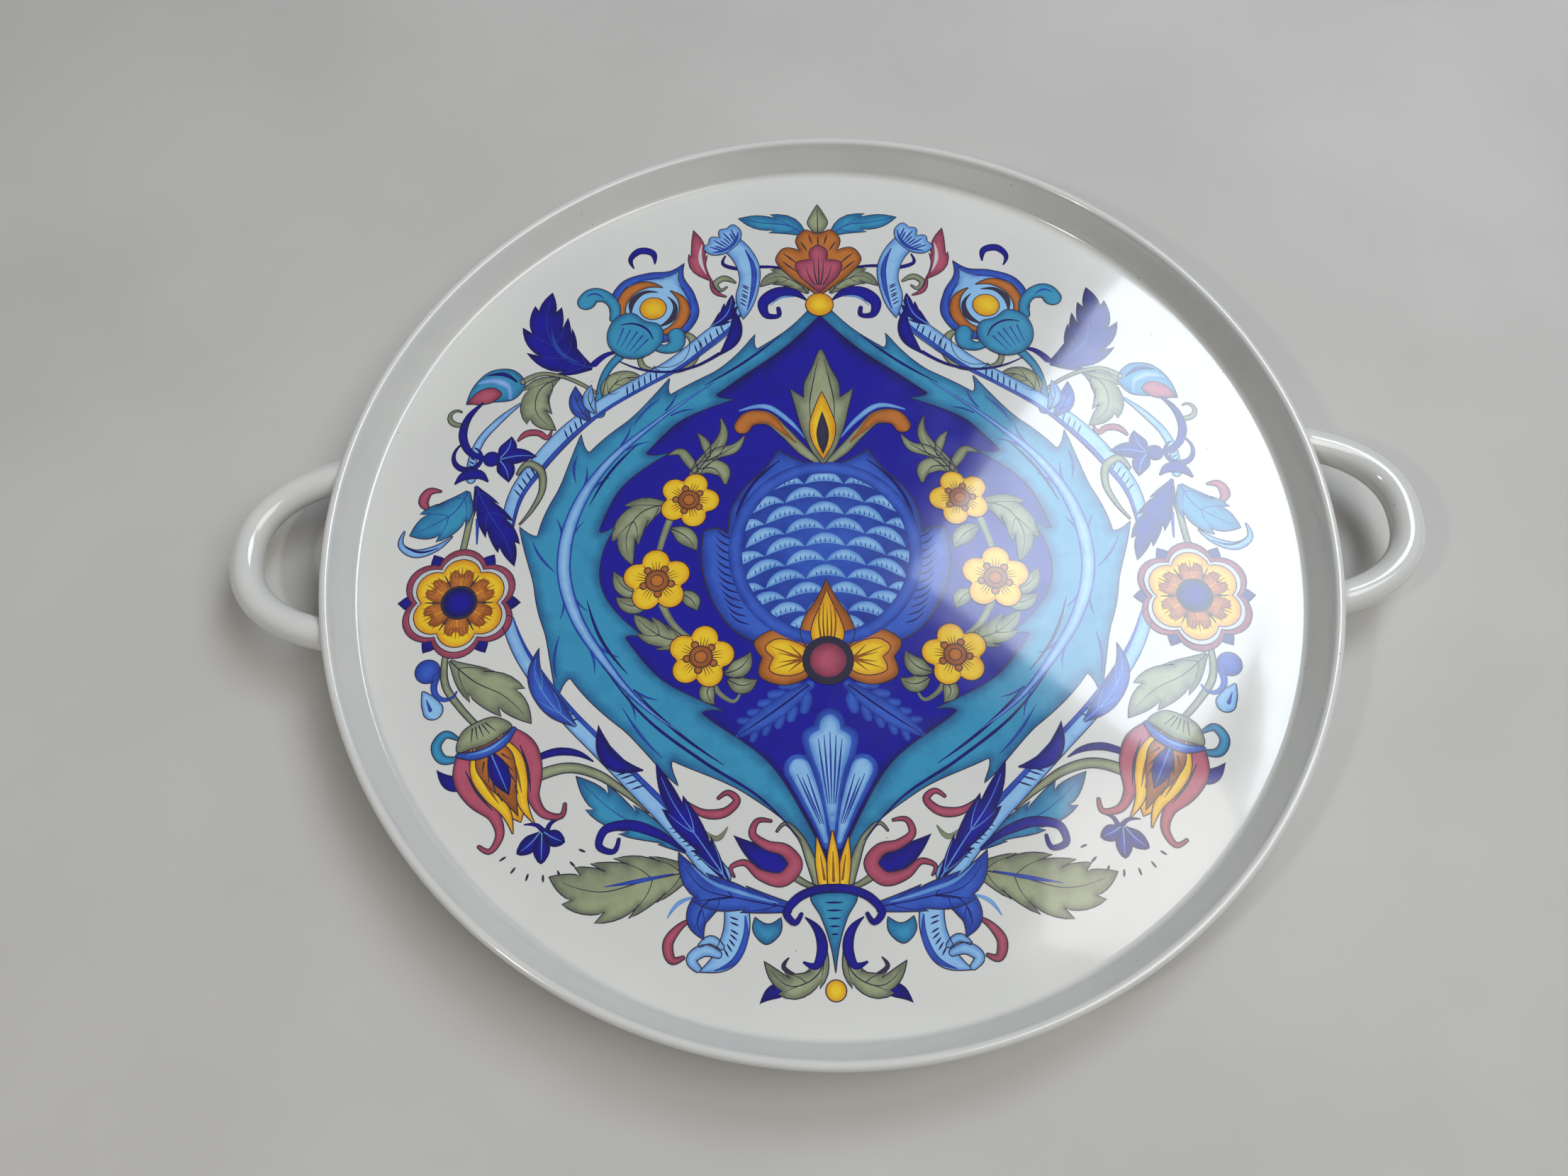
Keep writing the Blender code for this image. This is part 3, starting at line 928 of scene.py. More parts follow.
@on_axis
def lower_palmette(m):
    """Pale tongues in the lower point of the medallion."""
    for _ in m.mirrored():
        m.line([(-1.5, -98), (-4.5, -88), (-9.5, -75.5)], (3, 6.4, 9.4), "blue", 2)
        m.line([(-2, -97), (-4.8, -87), (-9.3, -75.5)], (1.4, 4.4, 6.6), "sky", 4, ink=0)
        for k in (-1, 0, 1):
            m.line([(-3 - k * 0.5, -92), (-8.6 - k * 1.5, -78 + abs(k))], (0.2, 0.6, 0.2), "blue", 5)
    m.half([(0, -56.5), (-3.4, -58.2), (-4.8, -62, 1), (-8.2, -64), (-7.8, -70), (-4.6, -78), (-2, -93),
            (0, -98)], "blue", 3, ink=0)
    m.half([(0, -58.5), (-2.4, -60), (-3.2, -63.4, 1), (-6.2, -65.6), (-5.8, -70), (-3.4, -77), (-1.2, -90),
            (0, -96)], "sky", 5, ink=0)
    for x in (-3.6, -1.8, 0, 1.8, 3.6):
        m.line([(x * 0.3, -86), (x * 0.7, -75), (x, -64 - abs(x) * 0.6)], (0.2, 0.6, 0.2), "blue", 6)


@on_axis
def lower_bud(m):
    """Yellow bud in sage leaves where the two borders meet."""
    for _ in m.mirrored():
        m.line([(-4.5, -109), (-6.5, -102.5), (-10, -95), (-14, -91.8), (-16.2, -94)],
               (2.8, 2.8, 2, 1.3, 0.6), "sage", 2, ink=INK_BOLD)
        m.line([(-2.6, -110), (-3.6, -103), (-4.6, -96)], (3.4, 3.2, 0.4), "yellow", 6, ink=INK)
        m.line([(-2.6, -108), (-3.7, -101)], (0.8, 0.2), "brown", 7.2)
    m.line([(0, -110), (0, -103), (0, -94)], (3.6, 3.4, 0.4), "yellow", 8, ink=INK)
    m.line([(0, -108.5), (0, -100)], (0.9, 0.2), "brown", 9)


@on_both_sides
def garland(m):
    """Half wreath of three flowers with leaves beside the fruit."""
    for tongue, widths in (
        ([(-45, 21), (-41, 28.5), (-36, 34.5), (-33.4, 40.5), (-34.4, 46.5)], (2, 3.6, 4.4, 3.4, 0.5)),
        ([(-41, 28), (-35.5, 33), (-29.6, 35), (-26.4, 39.6)], (2, 3.8, 3.6, 0.5)),
        ([(-43.5, 25), (-38.4, 28), (-33.6, 26.4), (-32.6, 22)], (2.4, 4.8, 5.4, 1.6)),
        ([(-42.5, 26), (-45.4, 31), (-47.6, 33.6), (-51.4, 32.6)], (1.8, 3.4, 3, 0.6)),
        ([(-38.6, 32), (-39.6, 37), (-42, 40.6)], (1.6, 3, 0.5)),
    ):
        m.line(tongue, widths, "sage", 1.2, edge=2, ink=INK)
    for rib in ([(-43, 25), (-38.4, 31.5), (-34.6, 38)],
                [(-39, 30), (-33, 33.4), (-29, 36)], [(-41, 27), (-36.4, 27.2), (-34, 24)]):
        m.line(rib, (0.5, 0.4, 0.1), "ink", 2.4)
    m.line([(-50, 10), (-53, 0), (-55, -10)], (2.4, 2, 1.6), "sage", 1)
    m.line([(-52, -22), (-48, -29), (-42, -34)], (2.4, 2, 1.6), "sage", 1)
    m.line([(-36, -47), (-33, -52), (-29, -54), (-27, -51)], (1.8, 1.6, 1.2, 0.6), "sage", 1)
    for spine, widths, teeth in (
        ([(-51, 14), (-60, 11), (-64.5, 2), (-62, -8)], (2, 9, 9.5, 6, 0), 3),
        ([(-50, 5), (-45, 2), (-41.5, -3)], (1, 5, 4.5, 0), 0),
        ([(-58, -18), (-64, -16), (-68, -10)], (1, 4.5, 4, 0), 0),
        ([(-56, -21), (-62, -22), (-67, -19)], (1, 4.5, 4, 0), 0),
        ([(-47, -18), (-43, -20), (-41, -24)], (1, 4, 4, 0), 0),
        ([(-44, -34), (-51, -33), (-56, -30), (-61, -25)], (2, 7, 8, 5, 0), 3),
        ([(-35.6, -48), (-37.4, -51), (-35, -55)], (1, 4.2, 3.6, 0), 0),
        ([(-32, -45), (-27, -43), (-24, -38)], (1, 5, 4, 0), 0),
        ([(-31, -47), (-26, -49), (-22, -47)], (1, 4.5, 4, 0), 0),
    ):
        m.leaf(spine,
               [w * 1.15 for w in widths], "sage", 1.4, teeth=teeth, depth=0.34, veins=2 if teeth else 0)
    m.flower(-44.5, 15.5, 9.6, turn=70, level=3)
    m.flower(-54, -13.5, 10.4, turn=95, level=3)
    m.flower(-39.5, -39.5, 10, turn=80, level=3)


# ---------------------------------------------------------------- fired print: motifs around the medallion


@on_axis
def top_finial(m):
    """Brown and rose blossom over the upper point, with leaves and scrolls."""
    m.leaf([(0, 125), (0, 138)], (3, 7.4, 4.5, 0), "sage", 3)
    for _ in m.mirrored():
        m.leaf([(-4.5, 123.6), (-11, 128.5), (-19, 129.5), (-29, 131.8)],
               (2, 8.4, 8.4, 6.4, 0), "teal", 1, teeth=2, depth=0.3, veins=2, rib="blue")
        m.leaf([(-4, 98), (-9, 103.4), (-15, 105.4), (-21, 101)],
               (1.5, 7.5, 8, 5.5, 0), "sage", 1, teeth=3, depth=0.35, veins=2)
        m.line([(-4.6, 95), (-9.5, 98.5), (-15.5, 98), (-20, 93.5), (-18.5, 88.5), (-14.5, 88.6),
                (-14.6, 91.6)], (0.6, 3.2, 4.8, 4.8, 3.4, 2.2, 1.6), "navy", 2, ink=0)
        m.line([(-8, 107), (-14, 109.3), (-22, 109.8), (-30, 109.2), (-34.5, 111.5), (-33.5, 115)],
               (0.4, 1, 1.3, 1.3, 1.6, 0.6), "navy", 3)
        m.line([(-8, 96.5), (-14, 96), (-17.5, 92.5)], (0.2, 0.8, 0.2), "sky", 3.4)
    m.half([(0, 124.5), (-4.6, 126.2), (-8, 122), (-6.8, 117, 1), (-12.4, 118), (-15.4, 113.4),
            (-11.5, 106.5), (-4.6, 100.5), (0, 96.5, 1)], "brown", 4)
    m.half([(0, 119.5, 1), (-3, 117), (-3, 112.8, 1), (-8.2, 111.2), (-7.2, 106), (-3.2, 101.4), (0, 98, 1)],
           "rose", 5)
    for end in ((-3.4, 124), (0, 123.2),
                (3.4, 124), (-6.4, 121), (6.4, 121), (-12.6, 115.6), (12.6, 115.6), (-13, 112), (13, 112)):
        m.line([(end[0] * 0.62, end[1] - 4.4), end], (0.2, 0.6, 0.2), "ink", 5.8)
    for x in (-4.6, -1.7, 0, 1.7, 4.6):
        m.line([(x * 0.3, 101.5), (x * 0.8, 106), (x, 110 + (4.6 - abs(x)))], (0.5, 0.4, 0.1), "ink", 5.9)
    m.dot(0, 93, 4.9, "yellow", 7)


@on_both_sides
def trumpet(m):
    """Horn beside the finial, with its ruffled mouth and tendrils."""
    m.fill([(-27, 87, 1), (-29.6, 96), (-28.4, 105), (-30.4, 112), (-36.6, 119.5, 1), (-34, 122.4),
            (-30, 124, 1), (-25, 118.5), (-21.4, 110.5), (-21.8, 99), (-24.4, 91)], "sky", 4.6)
    m.line([(-25.6, 91), (-23.6, 100), (-23.4, 109), (-26.5, 117.5)], (0.4, 1.7, 1.9, 0.4), "blue", 5.4)
    m.ticks([(-27.4, 92), (-26.2, 102), (-26.6, 110)], 0.08, 0.5, 7, 2.6, level=5.6)
    m.frame(-33.2, 120.6, 46)
    m.half([(0, 3.6, 1), (-2.4, 6), (-4.6, 4.6, 1), (-7.4, 4.4), (-7.6, 0.4), (-4.4, -2.6), (0, -3.4)],
           "sky", 5.6)
    for x, top in ((-5.4, 3),
                   (-3.9, 2.2), (-2.4, 4.2), (-0.8, 2.4), (0.8, 2.4), (2.4, 4.2), (3.9, 2.2), (5.4, 3)):
        m.line([(x * 0.6, -2), (x, top)], (0.2, 0.7, 0.4), "blue", 6.4)
    m.line([(-6.6, 0.6), (-3, -1.6), (0, -2.2), (3, -1.6), (6.6, 0.6)],
           (0.3, 1.1, 1.4, 1.1, 0.3), "blue", 6.4)
    m.frame()
    m.leaf([(-38.5, 104), (-43.4, 110.5), (-43.4, 118), (-45.4, 126.5)],
           (0.8, 5.4, 6.8, 4.6, 0), "rose", 2, rib=None, teeth=2, depth=0.25)
    m.line([(-40.5, 107), (-42.6, 113), (-42.2, 120)], (0.3, 1.4, 0.3), "white", 3)
    m.leaf([(-38.6, 84), (-33.4, 88.4), (-31, 97.8)],
           (0.8, 6, 5, 0), "navy", 4, teeth=3, depth=0.4, ink=0, rib="sky")
    m.leaf([(-35.4, 72), (-30, 80), (-30.6, 92)], (0.5, 4.6, 4, 0), "navy", 4.4, ink=0, rib=None)
    m.line([(-35.4, 72.6), (-45, 67), (-55, 65.4), (-63, 66.8), (-70, 70)],
           (1.4, 1.1, 1, 0.9, 0.4), "navy", 4)
    m.line([(-30, 103), (-34.4, 104.8), (-37, 102.4), (-35, 99.6), (-33, 101)],
           (0.8, 2.2, 2.2, 1.5, 0.6), "sage", 3, ink=INK_FINE)
    m.line([(-38.6, 104), (-36.6, 98.6), (-33, 96.8)], (0.8, 1.8, 0.5), "rose", 3.4, ink=INK_FINE)


@on_both_sides
def ogee_flower(m):
    """Pointed flower seen from the side, in a teal cup."""
    m.line([(-69, 73), (-74, 66), (-76, 58), (-75.5, 49)], (3.2, 2.6, 2.4, 3.4), "teal", 1, ink=INK)
    m.frame(-69, 73, -28)
    m.half([(0, 44, 1), (-2.4, 39), (-9.5, 34), (-15.6, 26.5), (-15.2, 17), (-10, 10.5), (0, 8)], "blue", 2)
    m.half([(0, 40, 1), (-1.8, 36.6), (-8, 32), (-13, 25.6), (-12.6, 18), (-8.4, 12.8), (0, 11)],
           "sky", 3, ink=INK_FINE)
    for _ in m.mirrored(-69, 73, -28):
        m.line([(-1.6, 31), (-7, 29.5), (-11, 24), (-10.4, 17), (-6, 13)],
               (0.3, 3, 4, 3.4, 0.6), "brown", 4, ink=INK_BOLD)
        m.line([(-2, 28.4), (-6.4, 26), (-8, 21), (-5.6, 15.6)], (0.3, 1.6, 2.2, 0.4), "ink", 5)
        m.line([(-3, 34.6), (-9, 31), (-13, 26)], (0.2, 1, 0.2), "blue", 4.6)
    m.line([(-72.4, 88), (-72.6, 93), (-76.4, 97.4), (-81, 97.6), (-82.6, 95.2)],
           (3.4, 3.8, 4.2, 6, 6.6), "teal", 6, ink=INK)
    m.line([(-83, 97.4), (-80, 98.6), (-76.6, 96.6)], (0.3, 0.8, 0.3), "blue", 7)
    m.line([(-58, 76.4), (-54, 74.8), (-50.4, 76.6), (-50.4, 80.4)], (3, 3.4, 5.4, 6), "teal", 6, ink=INK)
    m.frame(-69, 73, -28)
    m.dot(0, 21.5, 4.7, "yellow", 6)
    m.half([(0, 15.6), (-5.4, 16.4), (-9.4, 12.4), (-9.2, 5.6), (-5.6, 0.6), (0, -1.2)], "teal", 8)
    m.line([(-6.6, 10), (-3, 12.6), (3, 12.6), (6.6, 10)], (0.3, 0.8, 0.8, 0.3), "navy", 9)
    for x in (-5, -2.5, 0, 2.5, 5):
        m.line([(x, 10.4 - abs(x) * 0.2), (x * 0.7, 2)], (0.6, 0.2), "blue", 9)
    m.frame()
    m.line([(-66.4, 109.6), (-67.8, 113.6), (-64.6, 117.4), (-60, 116.4), (-59, 111.8)],
           (0.5, 2, 3, 2.6, 0.7), "navy", 1.4)


@on_both_sides
def serrated_leaf(m):
    """Saw-toothed leaf beside the pointed flower."""
    m.leaf([(-79, 67.5), (-88.5, 71), (-95, 80.5), (-95, 99.5)],
           (3, 16, 18, 11.5, 0), "navy", 1, teeth=5, depth=0.34, veins=3, rib="blue", ink=0)
    m.line([(-83.4, 69.4), (-90.6, 74), (-94.4, 84)], (0.2, 1.6, 0.2), "blue", 1.9)
    m.line([(-78.5, 69), (-74, 73), (-70, 74)], (2.6, 2, 1), "navy", 1.2)


@on_both_sides
def upper_stem(m):
    """Banded stem from the rosette up to the trumpet."""
    path = [(-103.5, 4), (-101.4, 18),
            (-95, 29.5), (-86, 41.5), (-75, 52), (-62, 61), (-50, 69), (-40.5, 77.5), (-33, 85), (-28.4, 93)]
    m.line(path, (4, 5, 6, 6.2, 5.4, 5.2, 5.4, 6.2, 6.6, 4), "sky", 2, ink=INK)
    inner = [(x + 1.5, y - 1.5) for x, y in path]
    m.line(inner, (0.3, 1.5, 1.7, 1.5, 1.4, 1.4, 1.5, 1.7, 0.4), "blue", 3)
    for first, last, count in ((0.12, 0.2, 5), (0.34, 0.42, 5), (0.56, 0.66, 6), (0.8, 0.9, 6)):
        m.ticks(path, first, last, count, 3.6)
    m.leaf([(-79, 46.5), (-83, 52), (-84.5, 60)], (1.5, 5.6, 4.6, 0), "blue", 4, veins=2)
    m.leaf([(-77, 49), (-79.6, 54), (-79, 60.5)], (1, 4, 3.4, 0), "sky", 5, veins=1)
    m.leaf([(-73, 53.5), (-72, 59.5), (-65.5, 63.5), (-60.5, 61.5)], (1, 7, 7.5, 4, 0), "sage", 1, veins=3)
    m.line([(-58, 67.5), (-51.6, 66.2), (-46, 69), (-43.8, 74.4), (-45, 79.4), (-50.4, 82.4)],
           (0.6, 2.6, 4, 4, 2.6, 0.5), "sage", 1.4, ink=INK_FINE)
    m.line([(-47.6, 80.6), (-50.8, 80.6), (-51.2, 77.6)], (0.8, 1.6, 0.6), "sage", 1.8)
    m.line([(-57, 66.4), (-61.4, 67.6), (-62.6, 71.4), (-59.6, 73)],
           (0.6, 2, 1.8, 0.6), "sage", 1.2, ink=INK_FINE)
    m.line([(-101.5, 26), (-98.5, 29.6), (-94.6, 27.6), (-93, 20.5), (-95.6, 13), (-99.6, 7)],
           (1.2, 2.6, 2.4, 1.9, 1.3, 0.5), "sage", 4, ink=INK_BOLD)


@on_both_sides
def striped_bud(m):
    """Closed bud with a leaf on its stalk."""
    m.fill([(-121.4, 53, 1), (-119.6, 60), (-113.6, 66.6), (-106, 66.6), (-101.8, 61), (-105, 55.2),
            (-113, 53.8)], "teal", 1)
    m.fill([(-121, 53.4, 1), (-117, 58.6), (-112.4, 59.6), (-109.6, 57), (-112, 54.2)],
           "rose", 2, ink=INK_BOLD)
    m.line([(-117.6, 61.4), (-112.4, 62.4), (-107.6, 60), (-106.6, 55.6)], (1, 2.6, 2.6, 1.4), "sky", 2.6)
    m.line([(-115, 64.6), (-109.4, 65), (-104.6, 61.8)], (0.4, 1.6, 0.6), "navy", 3)
    m.line([(-102.6, 62), (-97, 65), (-89.5, 64), (-82, 60.5), (-77, 57)],
           (2.2, 1.6, 1.3, 1.3, 1), "sage", 1, ink=INK_FINE)
    m.leaf([(-90, 63.4), (-96.4, 59), (-97.6, 51), (-90, 42.5)],
           (0.8, 9.5, 11, 7.5, 0), "sage", 2, teeth=3, depth=0.34, veins=1)
    m.line([(-102.6, 38.4), (-99.6, 41.4), (-95.6, 41.4), (-92.8, 39.6), (-91.4, 42.6)],
           (0.6, 2.2, 2.2, 1.6, 0.4), "rose", 3, ink=INK_FINE)


@on_both_sides
def star_flower(m):
    """Small flower on a thin bent stem, with two tendrils."""
    for spine in ([(-108, 32), (-105.6, 35.4), (-104.8, 40.4)], [(-108, 31.4), (-102, 32.8), (-95.6, 32.4)],
                  [(-108, 31), (-105.8, 28), (-104.4, 22.6)]):
        m.leaf(spine, (3, 6, 4.6, 0), "navy", 3, ink=0, rib="sky")
    m.dot(-110.8, 31.6, 2.9, "navy", 4, ink=0)
    m.line([(-112.6, 31.8), (-118, 34), (-121.2, 40), (-120.4, 47), (-115.8, 53.4)],
           (1.8, 2.6, 3, 2.4, 1), "navy", 2)
    m.line([(-117, 24), (-117.2, 31), (-115, 39), (-110, 46), (-103, 53)],
           (3, 2.9, 2.6, 2.2, 0.8), "sky", 1, ink=INK_BOLD)
    m.ticks([(-117, 22), (-117.2, 31), (-115, 39), (-110, 46), (-103, 53)], 0.08, 0.26, 5, 1.8)
    m.curl(-121, 45, 190, -240, 13, (1.4, 1.8, 1.2, 0.5), "sage", 1.6, power=1.5, ink=INK_FINE)
    m.curl(-120.6, 38, 215, 300, 26, (0.6, 1.4, 2.2, 1.6, 0.6), "navy", 1.6, power=1.2)
    m.line([(-122, 22.4), (-119, 25.4), (-114.6, 25.8), (-111.4, 23.2)], (0.8, 3.6, 3.6, 0.8), "navy", 4)


@on_both_sides
def side_leaves(m):
    """Teal and navy leaves over the rosette."""
    m.leaf([(-117.5, 19.5), (-121.5, 11.5), (-127, 7.6), (-135, 3.4)],
           (2, 11.5, 14, 10, 0), "teal", 2, teeth=3, depth=0.26, veins=2, rib="blue")
    m.line([(-136.8, 5), (-137.4, 0), (-133, -3), (-126.6, -1.6), (-121, 3)],
           (0.5, 2, 2.8, 2, 0.4), "sky", 1, ink=INK_BOLD)
    m.line([(-136, -0.6), (-131, -2.6), (-125, -1)], (0.3, 0.8, 0.2), "navy", 1.8)
    m.line([(-126.6, 19.6), (-130.4, 19.4), (-131.8, 15.6), (-129.4, 12.6)],
           (0.8, 2.8, 3.2, 0.8), "rose", 1, ink=INK_BOLD)
    m.line([(-115.6, 15), (-116.2, 6), (-117.2, -3)], (2.2, 2, 2), "sage", 1.4, ink=INK_FINE)
    m.line([(-113.4, 9), (-112.8, 0)], (1.4, 0.5), "blue", 1.6)
    m.leaf([(-115.2, 21.5), (-110, 11.5), (-104.5, 3), (-100, -8)],
           (1.5, 9, 10.5, 7.5, 0), "navy", 3, teeth=4, depth=0.32, veins=2, rib="blue", ink=0)


@on_both_sides
def rosette(m):
    """Large round flower at the plate's side."""
    x, y, petals = -116.5, -20.5, 6
    for k in range(petals):
        m.frame(x, y, 60 * k + 30)
        m.leaf([(0, 14.5), (0, 19.6)], (5.5, 4.4, 0), "navy", 1, rib=None, ink=0)
    m.frame()
    m.flower(x, y, 18.4, petals, "rose", "rose", 2, spread=0.60, plump=0.42)
    m.flower(x, y, 16.4, petals, "white", "white", 4, spread=0.60, plump=0.42)
    m.flower(x, y, 14.8, petals, "yellow", "brown", 6, spread=0.60, plump=0.42)
    for k in range(petals):
        m.frame(x, y, 60 * k)
        m.half([(0, 9.6), (-1.8, 11.4), (-3.6, 10.2), (-3.4, 6.4), (-1.8, 3.6), (0, 3)],
               "brown", 9, edge=1.2, ink=0)
        for out in (-4, -2.6, -1.3, 0, 1.3, 2.6, 4):
            m.line([(out * 0.7, 8.4), (out, 12.4 - abs(out) * 0.35)], (0.6, 0.1), "brown", 9.6)
        m.line([(0, 4), (0, 8.6)], (0.9, 0.2), "yellow", 9.8)
        for hand in (-1, 1):
            m.line([(hand * 3, 5.2), (hand * 5.4, 9.4)], (0.3, 0.5, 0.2), "ink", 9)
    m.frame()
    m.dot(x, y, 5.7, "ink", 10)
    m.dot(x, y, 4.9, "navy", 10.6, ink=0)


@on_both_sides
def under_rosette(m):
    """Drop, curl and leaf that hang under the rosette."""
    m.dot(-124, -43.5, 3.9, "blue", 1)
    m.curl(-121, -45.5, 250, 190, 14, (2.4, 1.8, 0.6), "blue", 1.4, power=1.4)
    m.line([(-124.8, -50), (-122.6, -53.4), (-121, -56)], (0.6, 4.4, 6.2), "sky", 1, ink=INK_BOLD)
    m.line([(-123.4, -52.6), (-121.8, -56)], (0.3, 1.2), "blue", 2)
    m.leaf([(-117.4, -40), (-109, -47), (-100, -51.4), (-90.6, -60.5)],
           (1.5, 10.5, 13.5, 9, 0), "sage", 2, teeth=3, depth=0.32, veins=1)
    m.line([(-119, -39), (-118, -48), (-113, -55), (-106, -62)], (1.8, 2.2, 2, 1.8), "sage", 1, ink=INK_BOLD)


@on_both_sides
def tulip(m):
    """Hanging tulip with curled petal tips."""
    x, y, turn = -105, -64, -153
    for _ in m.mirrored(x, y, turn):
        m.line([(-7.4, 3), (-10, 10), (-9, 18), (-6.2, 25), (-7.2, 31), (-11.6, 33.6), (-13.6, 31)],
               (4, 6.2, 6, 4.4, 3, 2, 1), "rose", 3, ink=INK)
        m.line([(-3.8, 4), (-6, 11), (-5, 18), (-2.8, 25), (-3.4, 32)],
               (2.6, 4.2, 4, 3, 0.3), "yellow", 4, ink=INK)
        m.line([(-8.8, 8), (-8, 16), (-6, 23)], (0.3, 0.9, 0.2), "ink", 4)
        m.line([(-5.4, 9), (-4.8, 15), (-3.6, 22)], (0.3, 0.9, 0.2), "brown", 5)
    m.frame(x, y, turn)
    m.half([(0, 30, 1), (-3.6, 25), (-6.6, 18), (-8.4, 10), (-7, 3), (0, 1)], "yellow", 2)
    m.leaf([(0, 3), (0, 28)], (7, 11.5, 9, 4, 0), "brown", 5, rib=None)
    m.leaf([(0, 7), (0, 21)], (2.6, 6, 5, 0), "navy", 6, rib="sky", ink=0)
    for hand in (-1, 1):
        for k in range(4):
            m.line([(hand * 2.8, 8 + 3.6 * k), (hand * (4.6 - 0.7 * k), 11 + 3.6 * k)], (0.6, 0.2), "ink", 6)
    m.half([(0, -4.6), (-5.4, -3.6), (-8.8, 1.6), (-4.6, 2.6), (0, 3.2)], "sage", 6)
    m.line([(-9, 2.6), (-4.6, 4.8), (0, 5.4), (4.6, 4.8), (9, 2.6)],
           (1.4, 2.8, 3, 2.8, 1.4), "blue", 7, ink=INK_BOLD)
    m.line([(-6.6, 3.6), (0, 5), (6.6, 3.6)], (0.2, 0.8, 0.2), "sky", 8)
    for swing in (-4, -2, 0, 2, 4):
        m.line([(swing * 0.5, -3.4), (swing, 0.6)], (0.5, 0.2), "ink", 7)
    m.frame()
    m.leaf([(-107.6, -77.6), (-112, -79), (-118, -74.6)], (4.4, 4.6, 0), "navy", 1, rib=None, ink=0)
    m.line([(-87.4, -71), (-82, -69.4), (-76, -70), (-71, -72.6)], (2.2, 2.6, 2, 0.4), "navy", 2)
    m.line([(-112, -71.4), (-116.6, -71.4), (-118.8, -67.4), (-116.4, -63.8), (-112.8, -65)],
           (1.6, 2.8, 3, 2.6, 1.2), "teal", 1, ink=INK)
    m.line([(-87, -76.6), (-78, -74.4), (-70, -76.4), (-62, -81.4), (-54, -88)],
           (3.4, 3, 2.6, 1.8, 0.6), "sage", 1, ink=INK_BOLD)


@on_both_sides
def tulip_seeds(m):
    """Seeds and a fan of ticks under the tulip."""
    for spine in ([(-85.6, -93.6), (-88, -96.8), (-92, -100)],
                  [(-85, -94), (-84.8, -98), (-84.6, -103)], [(-84.4, -93.6), (-81.4, -95.4), (-78, -96.6)]):
        m.leaf(spine, (0.8, 4.6, 4.6, 1.2), "navy", 2, rib="sky", ink=0)
    m.line([(-90.5, -91.4), (-86.6, -91.6), (-84, -93.4), (-82.6, -91), (-79, -89.4)],
           (0.4, 1.2, 1.6, 1.2, 0.4), "navy", 1)
    for k in range(7):
        angle = math.radians(214 + 20.5 * k)
        m.line([polar(-85, -94, radius, angle) for radius in (12, 14.2)], (0.3, 0.8, 0.3), "ink", 1)


@on_both_sides
def lower_stem(m):
    """Banded stem from the scroll foot up to the rosette."""
    path = [(-33, -107),
            (-45, -93), (-58, -80), (-70, -68), (-80, -58), (-90, -46), (-96, -37), (-100.5, -27)]
    m.line(path, (7, 6.2, 5.6, 5.2, 5, 4.8, 4.4, 4), "sky", 2, ink=INK)
    m.line([(x + 1.5, y + 1.5) for x, y in path], (0.4, 1.8, 1.6, 1.5, 1.4, 0.4), "blue", 3)
    for first, last, count in ((0.06, 0.18, 8), (0.34, 0.42, 5), (0.62, 0.7, 5)):
        m.ticks(path, first, last, count, 4)
    m.leaf([(-77, -61.5), (-86.4, -52.6), (-90.6, -45), (-90, -36)],
           (0.6, 5.6, 6.4, 4, 0), "blue", 4, veins=2, rib="sky")
    m.leaf([(-29, -110.5), (-38, -97.6), (-47, -85), (-52.4, -73)],
           (0.6, 5.6, 8.6, 6, 0), "navy", 4, teeth=3, depth=0.35, veins=2, rib="sky", ink=0)
    m.leaf([(-56, -75.4), (-65.6, -72.4), (-70.2, -61)], (0.5, 4.6, 4.4, 0), "navy", 4, ink=0, rib=None)


@on_both_sides
def lower_leaves(m):
    """Leaves and tendrils of the lower stem."""
    m.leaf([(-39, -101.5), (-50, -95), (-63, -88.6), (-76, -77)],
           (0.5, 5.4, 9.5, 9.5, 0), "teal", 1, teeth=4, depth=0.34, veins=1, rib="blue")
    m.line([(-43, -99.6), (-52, -94), (-60.6, -91.8), (-67, -93.6), (-68, -98), (-63.6, -99.4), (-62.4, -96)],
           (0.8, 2.2, 3.2, 3.2, 2.6, 2, 1.2), "navy", 2.6)
    m.leaf([(-41, -105.4), (-54, -108), (-67, -111), (-82, -106.6)],
           (5, 15, 18, 13, 0), "sage", 2, teeth=5, depth=0.32, veins=2)
    m.line([(-46, -106), (-56, -108), (-66, -109.6)], (0.3, 1.3, 0.2), "blue", 3)
    m.line([(-43, -85), (-37.4, -88.6), (-30.6, -87.8), (-28, -84.6), (-30.6, -82.4), (-33.4, -84)],
           (0.5, 2, 2.8, 2.4, 1.8, 0.9), "rose", 2, ink=INK_BOLD)
    m.line([(-37.4, -93.6), (-33.8, -96), (-30.6, -92.6)], (0.4, 1.7, 0.4), "sage", 2)


@on_both_sides
def rose_tulip(m):
    """Small tulip beside the bud."""
    m.line([(-18, -91), (-22, -91), (-23.4, -94.6), (-19.4, -98), (-13.6, -99.8), (-11, -103.6),
            (-14.4, -107.8), (-21, -106.6), (-26, -103), (-29.6, -104.6), (-28.6, -107)],
           (0.8, 1.7, 2.3, 2.9, 3.7, 4.3, 4.2, 3.4, 2.2, 1.5, 0.6), "rose", 3, ink=INK)
    m.leaf([(-12.4, -104.8), (-20, -101.8), (-29, -95)], (5.6, 7.4, 4.6, 0), "navy", 2, rib=None, ink=0)
    m.line([(-11, -107.4), (-7.6, -109.4), (-4.6, -110.4)], (2, 1.7, 1.2), "sage", 2, ink=INK_FINE)


